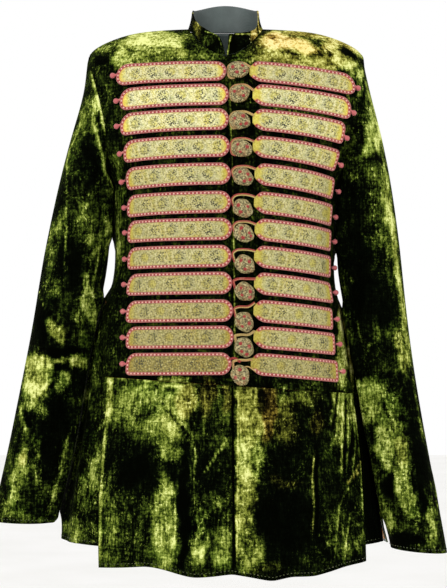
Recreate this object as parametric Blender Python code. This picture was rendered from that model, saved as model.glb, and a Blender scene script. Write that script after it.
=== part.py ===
"""Long coat of green velvet with a standing collar, long sleeves, flared side gores and
twelve rows of brocade bars with corded loops and knot buttons.

Metres, +Z up. The front faces -Y, so the wearer's right side is at -X and the left at +X.
The origin lies at the height of the shoulders, in the middle of the neck.
"""
import math

import bpy
from mathutils import Vector

MM = 0.001

# Cloth
CLOTH = 2.0 * MM
COLLAR_CLOTH = 2.4 * MM
LINING_CLOTH = 1.0 * MM
LINING_CLEARANCE = 0.6 * MM
# how far it stops short of the back's hem and side edges, as a share of the next row or column
LINING_HEM_SHARE = 0.10
LINING_EDGE_SHARE = 0.30
SEAM_GAP = 0.35 * MM

# Body of the coat: one ring a row, from the hem to the neck.
# height: where the ring crosses the side seam, the armhole or the shoulder seam
# right, left: distance of that crossing from the middle
# front, back: how far the ring reaches forward and back
# front_rise, back_rise: how far its front and back lie above the side
# middle: how far its widest line lies behind the origin
RING_COLUMNS = ("height", "right", "left", "front", "back", "front_rise", "back_rise", "middle")
RINGS = (
    (-0.9300, 0.2860, 0.2880, 0.1760, 0.1860, 0.000, 0.000, 0.020),
    (-0.8700, 0.2800, 0.2790, 0.1700, 0.1780, 0.000, 0.000, 0.020),
    (-0.8200, 0.2740, 0.2655, 0.1630, 0.1690, 0.000, 0.000, 0.020),
    (-0.7600, 0.2645, 0.2520, 0.1540, 0.1580, 0.000, 0.000, 0.019),
    (-0.6900, 0.2505, 0.2375, 0.1450, 0.1460, 0.000, 0.000, 0.018),
    (-0.6200, 0.2380, 0.2235, 0.1365, 0.1340, 0.000, 0.000, 0.016),
    (-0.5600, 0.2280, 0.2115, 0.1310, 0.1240, 0.000, 0.000, 0.014),
    (-0.5000, 0.2160, 0.2008, 0.1295, 0.1140, 0.000, 0.000, 0.012),
    (-0.4600, 0.2050, 0.1935, 0.1275, 0.1060, 0.000, 0.000, 0.010),
    (-0.4350, 0.1940, 0.1865, 0.1260, 0.1020, 0.000, 0.000, 0.009),
    (-0.4000, 0.1880, 0.1845, 0.1235, 0.0990, 0.000, 0.000, 0.008),
    (-0.3400, 0.1885, 0.1855, 0.1195, 0.1000, 0.000, 0.000, 0.006),
    (-0.3000, 0.1905, 0.1880, 0.1165, 0.1030, -0.003, -0.003, 0.005),
    (-0.2620, 0.1935, 0.1925, 0.1135, 0.1060, -0.010, -0.008, 0.004),
    (-0.2250, 0.1960, 0.1990, 0.1105, 0.1080, -0.022, -0.018, 0.003),
    (-0.1850, 0.1985, 0.2095, 0.1070, 0.1090, -0.036, -0.028, 0.002),
    (-0.1450, 0.2030, 0.2215, 0.1040, 0.1090, -0.050, -0.038, 0.001),
    (-0.1050, 0.2115, 0.2295, 0.1010, 0.1070, -0.064, -0.045, 0.000),
    (-0.0700, 0.2235, 0.2320, 0.0985, 0.1030, -0.077, -0.050, 0.000),
    (-0.0410, 0.2310, 0.2320, 0.0960, 0.0980, -0.089, -0.052, 0.000),
    (-0.0270, 0.2190, 0.2190, 0.0940, 0.0940, -0.088, -0.046, 0.000),
    (-0.0085, 0.1800, 0.1800, 0.0905, 0.0870, -0.0865, -0.034, 0.000),
    (-0.0010, 0.1350, 0.1350, 0.0860, 0.0780, -0.081, -0.018, 0.000),
    (0.0010, 0.0950, 0.0950, 0.0800, 0.0680, -0.069, -0.004, 0.000),
    (0.0020, 0.0640, 0.0640, 0.0740, 0.0600, -0.059, 0.008, 0.000),
)
PIT_RING = 13
TIP_RING = 19
NECK_RING = len(RINGS) - 1
CORNER_FULLNESS = 0.05
ARMHOLE_OPENING = math.radians(33.0)

# Closing line of the front, distance from the middle at each height. The left front laps over.
CLOSURE = ((-0.920, 0.0165), (-0.560, 0.0120), (-0.250, 0.0080), (-0.055, 0.0020))
UNDERLAP = 14.0 * MM
UNDERLAP_DEPTH = 3.6 * MM
UNDERLAP_RAMP = 8.0 * MM
# Distances from the closing line to the columns of each front that lie closest to it
CLOSING_COLUMNS = {
    "right": (UNDERLAP, -0.5 * MM, -UNDERLAP_RAMP),
    "left": (0.0, UNDERLAP / 2.0, UNDERLAP + 1.0 * MM),
}

# Front panels' side edge as an angle from the middle, at each height, in degrees
SIDE_EDGE = {
    "right": ((-0.930, 42.3), (-0.895, 43.6), (-0.750, 47.7), (-0.600, 55.4), (-0.560, 58.5),
              (-0.500, 66.0), (-0.460, 76.0), (-0.437, 90.0)),
    "left": ((-0.930, 49.0), (-0.885, 50.8), (-0.750, 60.0), (-0.620, 69.0), (-0.560, 73.0),
             (-0.500, 78.5), (-0.470, 83.0), (-0.437, 90.0)),
}
# Gores' rear edge, and the back panel's edge beside it. The left one opens as a vent.
GORE_REAR_EDGE = {
    "right": ((-0.930, 126.0), (-0.870, 124.0), (-0.600, 112.0), (-0.500, 101.0), (-0.437, 90.0)),
    "left": ((-0.930, 60.0), (-0.865, 67.0), (-0.790, 77.0), (-0.720, 88.0), (-0.660, 97.0),
             (-0.560, 98.0), (-0.500, 95.0), (-0.437, 90.0)),
}
BACK_EDGE = {
    "right": GORE_REAR_EDGE["right"],
    "left": ((-0.930, 93.0), (-0.870, 92.0), (-0.720, 96.0), (-0.660, 97.0),
             (-0.560, 98.0), (-0.500, 95.0), (-0.437, 90.0)),
}
GORE_TOP = -0.4400
GORE_HEM = -0.8600
BACK_HEM = -0.8720
# Heights of the rows that the skirt's panels share, up to the waist seam, beside the fronts, and
# above the gores
SKIRT_HEIGHTS = (-0.820, -0.760, -0.700, -0.660, -0.620, -0.585)
SEAM_HEIGHTS = (-0.550, -0.500, -0.460)
UPPER_HEIGHTS = (-0.437, -0.405, -0.365, -0.315)
BACK_COLUMNS = 25
FRONT_COLUMNS = 13
FRONT_SKIRT_COLUMNS = 18
FRONT_SKIRT_ROWS = 7
GORE_TUCK = 5.5 * MM
GORE_TUCK_FROM = -0.530
GORE_TUCK_TO = -0.590
GORE_TUCK_SPAN = math.radians(9.0)
GORE_LAP = math.radians(4.0)
GORE_LAP_TO = -0.635

# Seam between front and front skirt, and the front skirt's hem: height by distance from the middle
WAIST_SEAM = ((-0.230, -0.585), (0.230, -0.616))
FRONT_HEM = ((-0.206, -0.894), (-0.160, -0.891), (-0.120, -0.887), (-0.080, -0.897),
             (-0.053, -0.904), (-0.025, -0.9025), (0.010, -0.898), (0.040, -0.903),
             (0.073, -0.910), (0.103, -0.903), (0.143, -0.904), (0.183, -0.893), (0.228, -0.886))

# Largest folds: panel group, angle at the top and bottom of the fold in degrees, heights between
# which it runs, half width in degrees, and depth in metres (outward is positive)
FOLD_COLUMNS = ("panel", "top_angle", "bottom_angle", "top", "bottom", "half_width", "depth")
BODY_FOLDS = (
    ("skirt", -24.0, -25.5, -0.700, -0.930, 4.0, 0.0050),
    ("skirt", -18.0, -20.0, -0.680, -0.930, 3.4, -0.0050),
    ("skirt", -13.0, -14.5, -0.620, -0.930, 3.0, 0.0035),
    ("skirt", -33.0, -32.5, -0.740, -0.930, 4.0, -0.0030),
    ("skirt", -42.0, -38.5, -0.620, -0.930, 4.0, 0.0030),
    ("skirt", 10.0, 12.0, -0.640, -0.930, 4.0, -0.0030),
    ("skirt", 20.0, 21.0, -0.660, -0.930, 5.0, 0.0040),
    ("skirt", 29.0, 29.0, -0.700, -0.930, 4.0, -0.0035),
    ("skirt", 37.0, 36.0, -0.660, -0.930, 4.0, 0.0035),
    ("skirt", 58.0, 46.5, -0.600, -0.930, 3.0, 0.0035),
    ("skirt", 52.0, 42.0, -0.610, -0.930, 3.0, -0.0035),
    ("back", 140.0, 143.0, -0.480, -0.930, 6.0, 0.0060),
    ("back", 152.0, 156.0, -0.460, -0.930, 6.0, -0.0060),
    ("back", 166.0, 168.0, -0.450, -0.930, 6.0, 0.0060),
    ("back", -166.0, -168.0, -0.450, -0.930, 6.0, 0.0055),
    ("back", -152.0, -156.0, -0.460, -0.930, 6.0, -0.0060),
    ("back", -140.0, -143.0, -0.480, -0.930, 6.0, 0.0060),
    ("back", 118.0, 112.0, -0.520, -0.930, 6.0, -0.0040),
)
# Gathers of the gores: waves between the gore's two edges
GORE_WAVES = 5
GORE_WAVE_DEPTH = 3.0 * MM
GORE_COLUMNS = 21

# Sleeves: inner and outer line seen from the front, half depth and how far forward the ring lies.
# The first row is the armhole itself, at the pit and at the shoulder tip.
SLEEVE_COLUMNS = ("inner_x", "inner_z", "outer_x", "outer_z", "half_depth", "forward")
SLEEVES = {
    "right": (
        (0.1945, -0.2740, 0.2345, -0.0560, 0.060, 0.000),
        (0.1945, -0.2900, 0.2410, -0.1080, 0.061, 0.000),
        (0.1945, -0.3080, 0.2605, -0.1750, 0.061, 0.001),
        (0.1940, -0.3320, 0.2815, -0.2550, 0.060, 0.003),
        (0.1985, -0.3947, 0.3040, -0.3600, 0.057, 0.006),
        (0.2080, -0.4500, 0.3155, -0.4280, 0.055, 0.010),
        (0.2290, -0.5340, 0.3275, -0.5090, 0.053, 0.016),
        (0.2426, -0.6350, 0.3465, -0.6100, 0.051, 0.023),
        (0.2590, -0.7280, 0.3645, -0.7050, 0.049, 0.031),
        (0.2830, -0.8110, 0.3850, -0.7980, 0.046, 0.038),
        (0.2890, -0.8300, 0.3895, -0.8265, 0.045, 0.040),
    ),
    "left": (
        (0.1945, -0.2740, 0.2335, -0.0560, 0.060, 0.000),
        (0.1940, -0.2900, 0.2460, -0.1080, 0.061, 0.000),
        (0.1925, -0.3080, 0.2640, -0.1750, 0.061, 0.001),
        (0.1900, -0.3320, 0.2805, -0.2550, 0.060, 0.003),
        (0.1880, -0.3947, 0.2950, -0.3600, 0.057, 0.006),
        (0.1955, -0.4500, 0.3015, -0.4280, 0.055, 0.010),
        (0.2107, -0.5340, 0.3090, -0.5090, 0.053, 0.016),
        (0.2292, -0.6350, 0.3235, -0.6100, 0.051, 0.023),
        (0.2460, -0.7356, 0.3408, -0.7138, 0.049, 0.031),
        (0.2678, -0.8360, 0.3606, -0.8195, 0.046, 0.038),
        (0.2755, -0.8720, 0.3710, -0.8800, 0.045, 0.040),
    ),
}
SLEEVE_RINGS = 18
# rings lie closer together near the armhole: 1 would be even
RING_CROWDING = 1.15
# place along the sleeve from which its rings are plain ovals
ROUND_FROM = 0.28
# share of the armhole's height over which the wall's direction turns from the sleeve's to the body's
PIT_TURN = 0.35
# rows of the body's panels along the armhole, which the sleeve's points meet one by one
ARMHOLE_ROWS = 10
SLEEVE_SIDES = 2 * (ARMHOLE_ROWS - 1)
# Sleeve folds: angle round the sleeve in degrees (0 inner, 90 front, 180 outer), place along the
# sleeve from 0 to 1, half sizes and depth
SLEEVE_FOLD_COLUMNS = ("side", "angle", "place", "half_angle", "half_length", "depth")
SLEEVE_FOLDS = (
    ("right", 60.0, 0.30, 35.0, 0.09, -0.0040),
    ("right", 120.0, 0.24, 30.0, 0.10, 0.0030),
    ("right", 110.0, 0.56, 60.0, 0.035, -0.0030),
    ("right", 130.0, 0.72, 50.0, 0.04, 0.0025),
    ("right", 70.0, 0.80, 40.0, 0.05, -0.0030),
    ("left", 60.0, 0.30, 35.0, 0.09, -0.0040),
    ("left", 120.0, 0.24, 30.0, 0.10, 0.0030),
    ("left", 110.0, 0.52, 60.0, 0.035, -0.0030),
    ("left", 80.0, 0.63, 40.0, 0.05, 0.0025),
    ("left", 70.0, 0.80, 40.0, 0.05, -0.0030),
    ("right", -110.0, 0.55, 60.0, 0.04, -0.0035),
    ("left", -110.0, 0.55, 60.0, 0.04, -0.0035),
)

# Collar: its rim above the neck seam
COLLAR_RIM_HALF_WIDTH = 0.0570
COLLAR_RIM_FRONT = 0.0770
COLLAR_RIM_BACK = 0.0640
COLLAR_RIM_FRONT_HEIGHT = -0.0215
COLLAR_RIM_SIDE_HEIGHT = 0.0370
COLLAR_RIM_BACK_HEIGHT = 0.0580
# how steadily the rim rises from the front to the side: 1 is even, less stays low for longer
COLLAR_RISE = {"right": 1.0, "left": 0.45}
# angle of each front end at the seam and at the rim, in degrees
COLLAR_END = {"right": (0.5, 11.0), "left": (2.2, 6.0)}
COLLAR_CORNER = {"right": 6.0 * MM, "left": 1.5 * MM}
# over how much of the collar's length each front corner drops
COLLAR_CORNER_SPAN = 1.0 / 14.0
COLLAR_HOLLOW = 1.5 * MM
# how late the right end leans away: 1 is even
COLLAR_FLARE = 1.4
COLLAR_COLUMNS = 28
COLLAR_ROWS = 4

# Bars: a row each, from the top. height: middle of the inner ends; right_start, left_start: where
# the inner ends lie, to the left of the middle; right_end, left_end: how far from the middle the
# outer ends lie; left_slope: how much lower the left bar's outer end lies; knot_x, knot_drop,
# knot_turn: the knot's place and tilt; arch: how far the loop rises over the knot's middle
BAR_COLUMNS = ("height", "right_start", "left_start", "right_end", "left_end", "left_slope",
               "knot_x", "knot_drop", "arch", "knot_turn")
BARS = (
    (-0.0865, 0.0020, 0.0385, 0.1800, 0.2150, 0.016, 0.0210, 0.0020, 0.0175, -10.0),
    (-0.1262, 0.0060, 0.0435, 0.1740, 0.2070, 0.015, 0.0232, 0.0000, 0.0170, 20.0),
    (-0.1675, 0.0060, 0.0435, 0.1730, 0.1960, 0.014, 0.0235, 0.0049, 0.0174, -15.0),
    (-0.2120, 0.0075, 0.0435, 0.1680, 0.1850, 0.014, 0.0270, 0.0067, 0.0186, -20.0),
    (-0.2575, 0.0090, 0.0465, 0.1640, 0.1790, 0.014, 0.0288, 0.0080, 0.0193, -30.0),
    (-0.3040, 0.0090, 0.0455, 0.1620, 0.1765, 0.013, 0.0283, 0.0128, 0.0246, -35.0),
    (-0.3480, 0.0110, 0.0465, 0.1610, 0.1750, 0.013, 0.0296, 0.0091, 0.0201, -30.0),
    (-0.3920, 0.0100, 0.0455, 0.1610, 0.1745, 0.013, 0.0312, 0.0155, 0.0257, -35.0),
    (-0.4355, 0.0110, 0.0455, 0.1610, 0.1755, 0.013, 0.0312, 0.0159, 0.0224, -35.0),
    (-0.4800, 0.0125, 0.0445, 0.1620, 0.1765, 0.012, 0.0304, 0.0198, 0.0254, -60.0),
    (-0.5225, 0.0135, 0.0445, 0.1620, 0.1800, 0.011, 0.0304, 0.0179, 0.0214, -50.0),
    (-0.5655, 0.0100, 0.0400, 0.1620, 0.1850, 0.013, 0.0243, 0.0201, 0.0256, -65.0),
)
BAR_HEIGHT = 36.0 * MM
BAR_THICKNESS = 2.0 * MM
BAR_CLEARANCE = 0.95 * MM
RIGHT_SLOPE = 1.0 * MM
# the bars turn down a little more toward their outer ends: 1 would be straight
BAR_DROOP = 1.2
WALK_STEP = 8.0 * MM
# Sections at a bar's two ends: distance from the end and share of its full height
INNER_END = ((0.0, 0.24), (2.5 * MM, 0.52), (8.0 * MM, 0.78), (17.0 * MM, 0.96))
OUTER_END = ((17.0 * MM, 1.0), (7.0 * MM, 1.0), (1.5 * MM, 0.88))
BODY_SECTIONS = 6
BOBBLE_RADIUS = 4.6 * MM
BOBBLE_STEM = 3.2 * MM
STEM_RADIUS = 1.5 * MM
# Sections of the bobble beyond the bar: share of its length and of its radius
BOBBLE_SECTIONS = ((0.08, 0.55), (0.45, 1.0), (1.0, 0.42))
KNOT_SIZE = Vector((16.5 * MM, 8.0 * MM, 14.0 * MM))
KNOT_NARROWING = 0.14
KNOT_CLEARANCE = 0.4 * MM
CORD_RADIUS = 2.1 * MM
LOOP_SPARE = 0.5 * MM
LOOP_POINTS = 8
LOOP_FOOT_DROP = 1.0 * MM
LOOP_FROM = math.radians(200.0)
LOOP_TO = math.radians(-10.0)

MATERIALS = {
    # sRGB, roughness, metallic
    "velvet": ((0.22, 0.32, 0.06), 0.85, 0.0),
    "velvet_dark": ((0.09, 0.14, 0.04), 0.90, 0.0),
    "lining": ((0.66, 0.46, 0.17), 0.70, 0.0),
    "brocade": ((0.80, 0.76, 0.50), 0.45, 0.3),
    "knot": ((0.56, 0.54, 0.33), 0.60, 0.1),
    "cord": ((0.75, 0.45, 0.30), 0.65, 0.0),
}


def to_linear(value):
    """sRGB to linear light."""
    if value <= 0.04045:
        return value / 12.92
    return ((value + 0.055) / 1.055) ** 2.4


def make_material(name):
    colour, roughness, metallic = MATERIALS[name]
    material = bpy.data.materials.new(name)
    material.use_nodes = True
    shader = material.node_tree.nodes["Principled BSDF"]
    shader.inputs["Base Color"].default_value = [to_linear(c) for c in colour] + [1.0]
    shader.inputs["Roughness"].default_value = roughness
    shader.inputs["Metallic"].default_value = metallic
    return material


def clamp01(value):
    return max(0.0, min(1.0, value))


def ease(value):
    """Smooth step from 0 to 1."""
    value = clamp01(value)
    return value * value * (3.0 - 2.0 * value)


def bell(value):
    """1 at zero, falling smoothly to 0 at -1 and 1."""
    return (math.cos(math.pi * max(-1.0, min(1.0, value))) + 1.0) / 2.0


def look_up(pairs, key):
    """Straight interpolation in (key, value) pairs that rise by key, held at the ends."""
    if key <= pairs[0][0]:
        return pairs[0][1]
    for (low, low_value), (high, high_value) in zip(pairs, pairs[1:]):
        if key <= high:
            return low_value + (high_value - low_value) * (key - low) / (high - low)
    return pairs[-1][1]


def blend_rows(rows, place):
    """A row of the table at a place counted in rows, through all of them with no corner."""
    last = len(rows) - 1
    place = max(0.0, min(float(last), place))
    index = min(int(place), last - 1)
    f = place - index
    before = rows[max(index - 1, 0)]
    here = rows[index]
    after = rows[index + 1]
    beyond = rows[min(index + 2, last)]
    weights = (
        (-f ** 3 + 2.0 * f ** 2 - f) / 2.0,
        (3.0 * f ** 3 - 5.0 * f ** 2 + 2.0) / 2.0,
        (-3.0 * f ** 3 + 4.0 * f ** 2 + f) / 2.0,
        (f ** 3 - f ** 2) / 2.0,
    )
    return [sum(w * row[i] for w, row in zip(weights, (before, here, after, beyond)))
            for i in range(len(here))]


def ring_at(place):
    return dict(zip(RING_COLUMNS, blend_rows(RINGS, place)))


def place_at_height(height):
    """Which place in the rings crosses the side at this height."""
    low, high = 0.0, float(NECK_RING)
    for _ in range(20):
        middle = (low + high) / 2.0
        if ring_at(middle)["height"] < height:
            low = middle
        else:
            high = middle
    return (low + high) / 2.0


def armhole_angle(place):
    """How far the armhole opens to each side of the side line, as an angle."""
    f = (place - PIT_RING) / (TIP_RING - PIT_RING)
    if f <= 0.0 or f >= 1.0:
        return 0.0
    return ARMHOLE_OPENING * 2.0 * math.sqrt(f * (1.0 - f))


def fullness(angle):
    return 1.0 + CORNER_FULLNESS * math.sin(2.0 * angle) ** 2


def plain_point(place, angle):
    """Point of the body's surface without folds. Angle 0 is the front, a right angle the left."""
    ring = ring_at(place)
    edge = math.pi / 2.0 - armhole_angle(place)
    half = ring["right"] if angle < 0.0 else ring["left"]
    half /= math.sin(edge) * fullness(edge)
    cosine = math.cos(angle)
    if cosine > 0.0:
        depth = ring["front"] + ring["middle"]
        rise = ring["front_rise"]
    else:
        depth = ring["back"] - ring["middle"]
        rise = ring["back_rise"]
    return Vector((
        half * math.sin(angle) * fullness(angle),
        ring["middle"] - depth * cosine * fullness(angle),
        ring["height"] + rise * cosine * cosine,
    ))


def plain_normal(place, angle):
    step = 0.01
    low = max(place - step, 0.0)
    high = min(place + step, float(NECK_RING))
    along = plain_point(place, angle + step) - plain_point(place, angle - step)
    up = plain_point(high, angle) - plain_point(low, angle)
    return along.cross(up).normalized()


def fold_offset(panel, angle, height):
    """How far the named panel's folds move the cloth out at this angle and height."""
    total = 0.0
    degrees = math.degrees(angle)
    for row in BODY_FOLDS:
        fold = dict(zip(FOLD_COLUMNS, row))
        if fold["panel"] != panel or height > fold["top"]:
            continue
        run = (fold["top"] - height) / (fold["top"] - fold["bottom"])
        centre = fold["top_angle"] + (fold["bottom_angle"] - fold["top_angle"]) * run
        away = (degrees - centre) / fold["half_width"]
        total += fold["depth"] * bell(away) * ease(run * 2.2)
    return total


def body_point(place, angle, inset=0.0, panel=None):
    """Point on the body's surface, set in along its normal, with the panel's folds."""
    point = plain_point(place, angle)
    out = -inset
    if panel:
        out += fold_offset(panel, angle, point.z)
    if abs(out) > 0.0:
        point = point + plain_normal(place, angle) * out
    return point


def cloth_pair(place, angle, inset=0.0, panel=None):
    """Outer and inner point of a panel's wall. Neighbours share this direction at their seams."""
    point = body_point(place, angle, inset, panel)
    return point, point - plain_normal(place, angle) * CLOTH


def closure_at(height):
    return look_up(CLOSURE, height)


def angle_at_x(place, x):
    """Angle on the front half of a ring at a distance from the middle."""
    angle = 0.0
    for _ in range(6):
        here = plain_point(place, angle).x
        ahead = plain_point(place, angle + 0.001).x
        angle += max(-0.5, min(0.5, (x - here) * 0.001 / (ahead - here)))
    return angle


def front_place(x, z):
    """Place and angle of the front surface's point at x and z."""
    place = place_at_height(z)
    angle = 0.0
    for _ in range(12):
        angle = angle_at_x(place, x)
        point = plain_point(place, angle)
        ahead = plain_point(min(place + 0.02, NECK_RING), angle)
        rate = max((ahead.z - point.z) / 0.02, 0.004)
        place = max(0.0, min(float(NECK_RING) - 0.02, place + 0.8 * (z - point.z) / rate))
    return place, angle


def front_frame(x, z):
    """Point and outward normal of the front surface at x and z."""
    place, angle = front_place(x, z)
    return plain_point(place, angle), plain_normal(place, angle)


def new_object(name, mesh, material, collection):
    thing = bpy.data.objects.new(name, mesh)
    thing.data.materials.append(material)
    collection.objects.link(thing)
    thing.data.shade_smooth()
    return thing


def wall(name, outer, inner, material, collection, closed=False):
    """Panel of cloth: a grid of points for its outer face and one for its inner face, both with
    rows of equal length, joined round the edges. A closed panel is a tube along its columns."""
    rows = len(outer)
    columns = len(outer[0])
    points = [tuple(point) for grid in (outer, inner) for row in grid for point in row]
    under = rows * columns
    spans = columns if closed else columns - 1
    faces = []
    for r in range(rows - 1):
        for c in range(spans):
            n = (c + 1) % columns
            here, there = r * columns + c, r * columns + n
            above, beyond = here + columns, there + columns
            # both faces are split along the same diagonal, so that the wall keeps its thickness
            for triangle in ((here, there, beyond), (here, beyond, above)):
                faces.append(triangle)
                faces.append(tuple(under + k for k in reversed(triangle)))
    top = (rows - 1) * columns
    for c in range(spans):
        n = (c + 1) % columns
        faces.append((n, c, under + c, under + n))
        faces.append((top + c, top + n, under + top + n, under + top + c))
    if not closed:
        last = columns - 1
        for r in range(rows - 1):
            here, above = r * columns, (r + 1) * columns
            faces.append((here, above, under + above, under + here))
            faces.append((above + last, here + last, under + here + last, under + above + last))
    mesh = bpy.data.meshes.new(name)
    mesh.from_pydata(points, [], faces)
    mesh.update()
    return new_object(name, mesh, material, collection)


def grid_normals(grid, closed):
    """Outward normals of a grid of points, from its neighbours."""
    rows = len(grid)
    columns = len(grid[0])
    normals = []
    for r in range(rows):
        low, high = max(r - 1, 0), min(r + 1, rows - 1)
        line = []
        for c in range(columns):
            if closed:
                before, after = (c - 1) % columns, (c + 1) % columns
            else:
                before, after = max(c - 1, 0), min(c + 1, columns - 1)
            along = grid[r][after] - grid[r][before]
            up = grid[high][c] - grid[low][c]
            line.append(along.cross(up).normalized())
        normals.append(line)
    return normals


def moved_in(grid, normals, thickness):
    return [[point - normal * thickness for point, normal in zip(row, line)]
            for row, line in zip(grid, normals)]


def spread(start, end, count):
    return [start + (end - start) * i / (count - 1) for i in range(count)]


def seam_angle(place, height, side):
    """Angle of the side seam, the armhole edge or the shoulder seam of a front, all from the middle."""
    if place > PIT_RING:
        return math.pi / 2.0 - armhole_angle(place)
    return math.radians(look_up(SIDE_EDGE[side], height))


def seam_step(place, angle):
    """Half a seam gap as an angle."""
    moved = plain_point(place, angle + 0.01) - plain_point(place, angle)
    return SEAM_GAP / 2.0 * 0.01 / max(moved.length, 1e-6)


def underlap_inset(x, height):
    """The right front dips under the left one near the closing line."""
    return UNDERLAP_DEPTH * ease((x - closure_at(height) + UNDERLAP_RAMP) / UNDERLAP_RAMP)


def armhole_places(count):
    """Places from the pit to the shoulder tip, closer together at both ends."""
    return [PIT_RING + (TIP_RING - PIT_RING) * (1.0 - math.cos(turn)) / 2.0
            for turn in spread(0.0, math.pi, count)]


def upper_places():
    """Places from the waist to the neck, shared by the fronts and the back."""
    places = [place_at_height(height) for height in UPPER_HEIGHTS]
    return places + armhole_places(ARMHOLE_ROWS) + spread(TIP_RING + 1.0, NECK_RING, 4)


def front_angles(side, place, height, columns):
    """Angles across a front, from its right-hand edge to its left-hand one."""
    outer = seam_angle(place, height, side)
    outer -= seam_step(place, outer)
    if side == "right":
        outer = -outer
    closing = closure_at(plain_point(place, 0.0).z)
    near = [angle_at_x(place, closing + away) for away in CLOSING_COLUMNS[side]]
    angles = near[:-1] + spread(near[-1], outer, columns - len(near) + 1)
    return angles[::-1] if side == "right" else angles


def front_inset(side, place, angle):
    if side == "left":
        return 0.0
    point = plain_point(place, angle)
    return underlap_inset(point.x, plain_point(place, 0.0).z)


def front_row(side, place, columns):
    """One row of a front panel at a place in the rings."""
    height = ring_at(place)["height"]
    return [cloth_pair(place, angle, front_inset(side, place, angle))
            for angle in front_angles(side, place, height, columns)]


def level_row(side, columns, level, panel=None):
    """One row of a front panel whose height at each distance from the middle is level(x)."""
    row = []
    for c in range(columns):
        height = level(0.0)
        for _ in range(4):
            place = place_at_height(height)
            angle = front_angles(side, place, height, columns)[c]
            height = level(plain_point(place, angle).x)
        place = place_at_height(height)
        row.append(cloth_pair(place, angle, front_inset(side, place, angle), panel))
    return row


def unzip_grid(grid):
    """Split a grid of pairs into the outer and the inner grid."""
    outer = [[pair[0] for pair in row] for row in grid]
    inner = [[pair[1] for pair in row] for row in grid]
    return outer, inner


def make_front(side, material, collection):
    """Upper front, from the waist seam to the neck and the shoulder seam."""
    columns = FRONT_COLUMNS
    grid = [level_row(side, columns, lambda x: look_up(WAIST_SEAM, x) + SEAM_GAP)]
    places = [place_at_height(height) for height in SEAM_HEIGHTS] + upper_places()
    grid += [front_row(side, place, columns) for place in places]
    outer, inner = unzip_grid(grid)
    return wall("front_" + side, outer, inner, material, collection)


def make_front_skirt(side, material, collection):
    """The front's lower part, from the waist seam to the hem, free at its side."""
    columns = FRONT_SKIRT_COLUMNS
    grid = []
    for down in spread(1.0, 0.0, FRONT_SKIRT_ROWS):
        def level(x, down=down):
            top = look_up(WAIST_SEAM, x)
            return top + (look_up(FRONT_HEM, x) - top) * down
        grid.append(level_row(side, columns, level, "skirt"))
    outer, inner = unzip_grid(grid)
    return wall("front_skirt_" + side, outer, inner, material, collection)


def gore_front_edge(side, height):
    """Beside the front down to the waist seam, then tucked behind the front skirt."""
    edge = math.radians(look_up(SIDE_EDGE[side], height))
    lap = ease((GORE_TUCK_TO - height) / (GORE_TUCK_TO - GORE_LAP_TO))
    return edge - GORE_LAP * lap


def gore_row(side, height, columns):
    """One row of a gore, from its front edge to its rear one: gathers, and the tuck at the front."""
    sign = -1.0 if side == "right" else 1.0
    place = place_at_height(height)
    start = gore_front_edge(side, height)
    start += 2.0 * seam_step(place, start)
    end = math.radians(look_up(GORE_REAR_EDGE[side], height))
    end -= seam_step(place, end)
    skirt_edge = math.radians(look_up(SIDE_EDGE[side], height))
    tuck = GORE_TUCK * ease((GORE_TUCK_FROM - height) / (GORE_TUCK_FROM - GORE_TUCK_TO))
    depth = GORE_WAVE_DEPTH * ease((GORE_TOP - height) / 0.05) * ease((end - start) / 0.25)
    row = []
    for across in spread(0.0, 1.0, columns):
        angle = start + (end - start) * across
        past = ease((angle - skirt_edge + GORE_LAP / 4.0) / GORE_TUCK_SPAN)
        fade = min(past, ease((1.0 - across) * 8.0))
        wave = depth * fade * math.sin(2.0 * math.pi * GORE_WAVES * across)
        row.append(cloth_pair(place, sign * angle, tuck * (1.0 - past) - wave))
    return row if side == "left" else row[::-1]


def make_gore(side, material, collection):
    """Flared side piece, gathered at the top."""
    heights = (GORE_HEM,) + SKIRT_HEIGHTS + SEAM_HEIGHTS + (GORE_TOP,)
    outer, inner = unzip_grid([gore_row(side, height, GORE_COLUMNS) for height in heights])
    return wall("gore_" + side, outer, inner, material, collection)


def back_row(place, columns):
    """One row across the back, from the left edge round to the right one."""
    height = ring_at(place)["height"]
    if place > PIT_RING:
        left = math.pi / 2.0 + armhole_angle(place)
        right = left
    else:
        left = math.radians(look_up(BACK_EDGE["left"], height))
        right = math.radians(look_up(BACK_EDGE["right"], height))
    start = left + seam_step(place, left)
    end = 2.0 * math.pi - right - seam_step(place, right)
    row = []
    for angle in spread(start, end, columns):
        turned = angle - 2.0 * math.pi if angle > math.pi else angle
        row.append(cloth_pair(place, turned, 0.0, "back"))
    return row


def make_back(material, collection):
    heights = (BACK_HEM,) + SKIRT_HEIGHTS + SEAM_HEIGHTS
    places = [place_at_height(height) for height in heights] + upper_places()
    outer, inner = unzip_grid([back_row(place, BACK_COLUMNS) for place in places])
    return wall("back", outer, inner, material, collection)


def make_skirt_lining(material, collection):
    """Lining of the back's skirt, which shows in the vent: the back's own points, moved in."""
    rows = [back_row(place_at_height(height), BACK_COLUMNS)
            for height in (BACK_HEM,) + SKIRT_HEIGHTS]
    # it stops short of the hem and of both side edges
    rows[0] = [blend_pairs(low, high, LINING_HEM_SHARE) for low, high in zip(rows[0], rows[1])]
    for row in rows:
        row[0] = blend_pairs(row[0], row[1], LINING_EDGE_SHARE)
        row[-1] = blend_pairs(row[-1], row[-2], LINING_EDGE_SHARE)
    outer, inner = [], []
    for row in rows:
        inward = [(low - high).normalized() for high, low in row]
        outer.append([pair[0] + way * (CLOTH + LINING_CLEARANCE)
                      for pair, way in zip(row, inward)])
        inner.append([pair[0] + way * (CLOTH + LINING_CLEARANCE + LINING_CLOTH)
                      for pair, way in zip(row, inward)])
    return wall("skirt_lining", outer, inner, material, collection)


def blend_pairs(first, second, share):
    return tuple(a.lerp(b, share) for a, b in zip(first, second))


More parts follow.
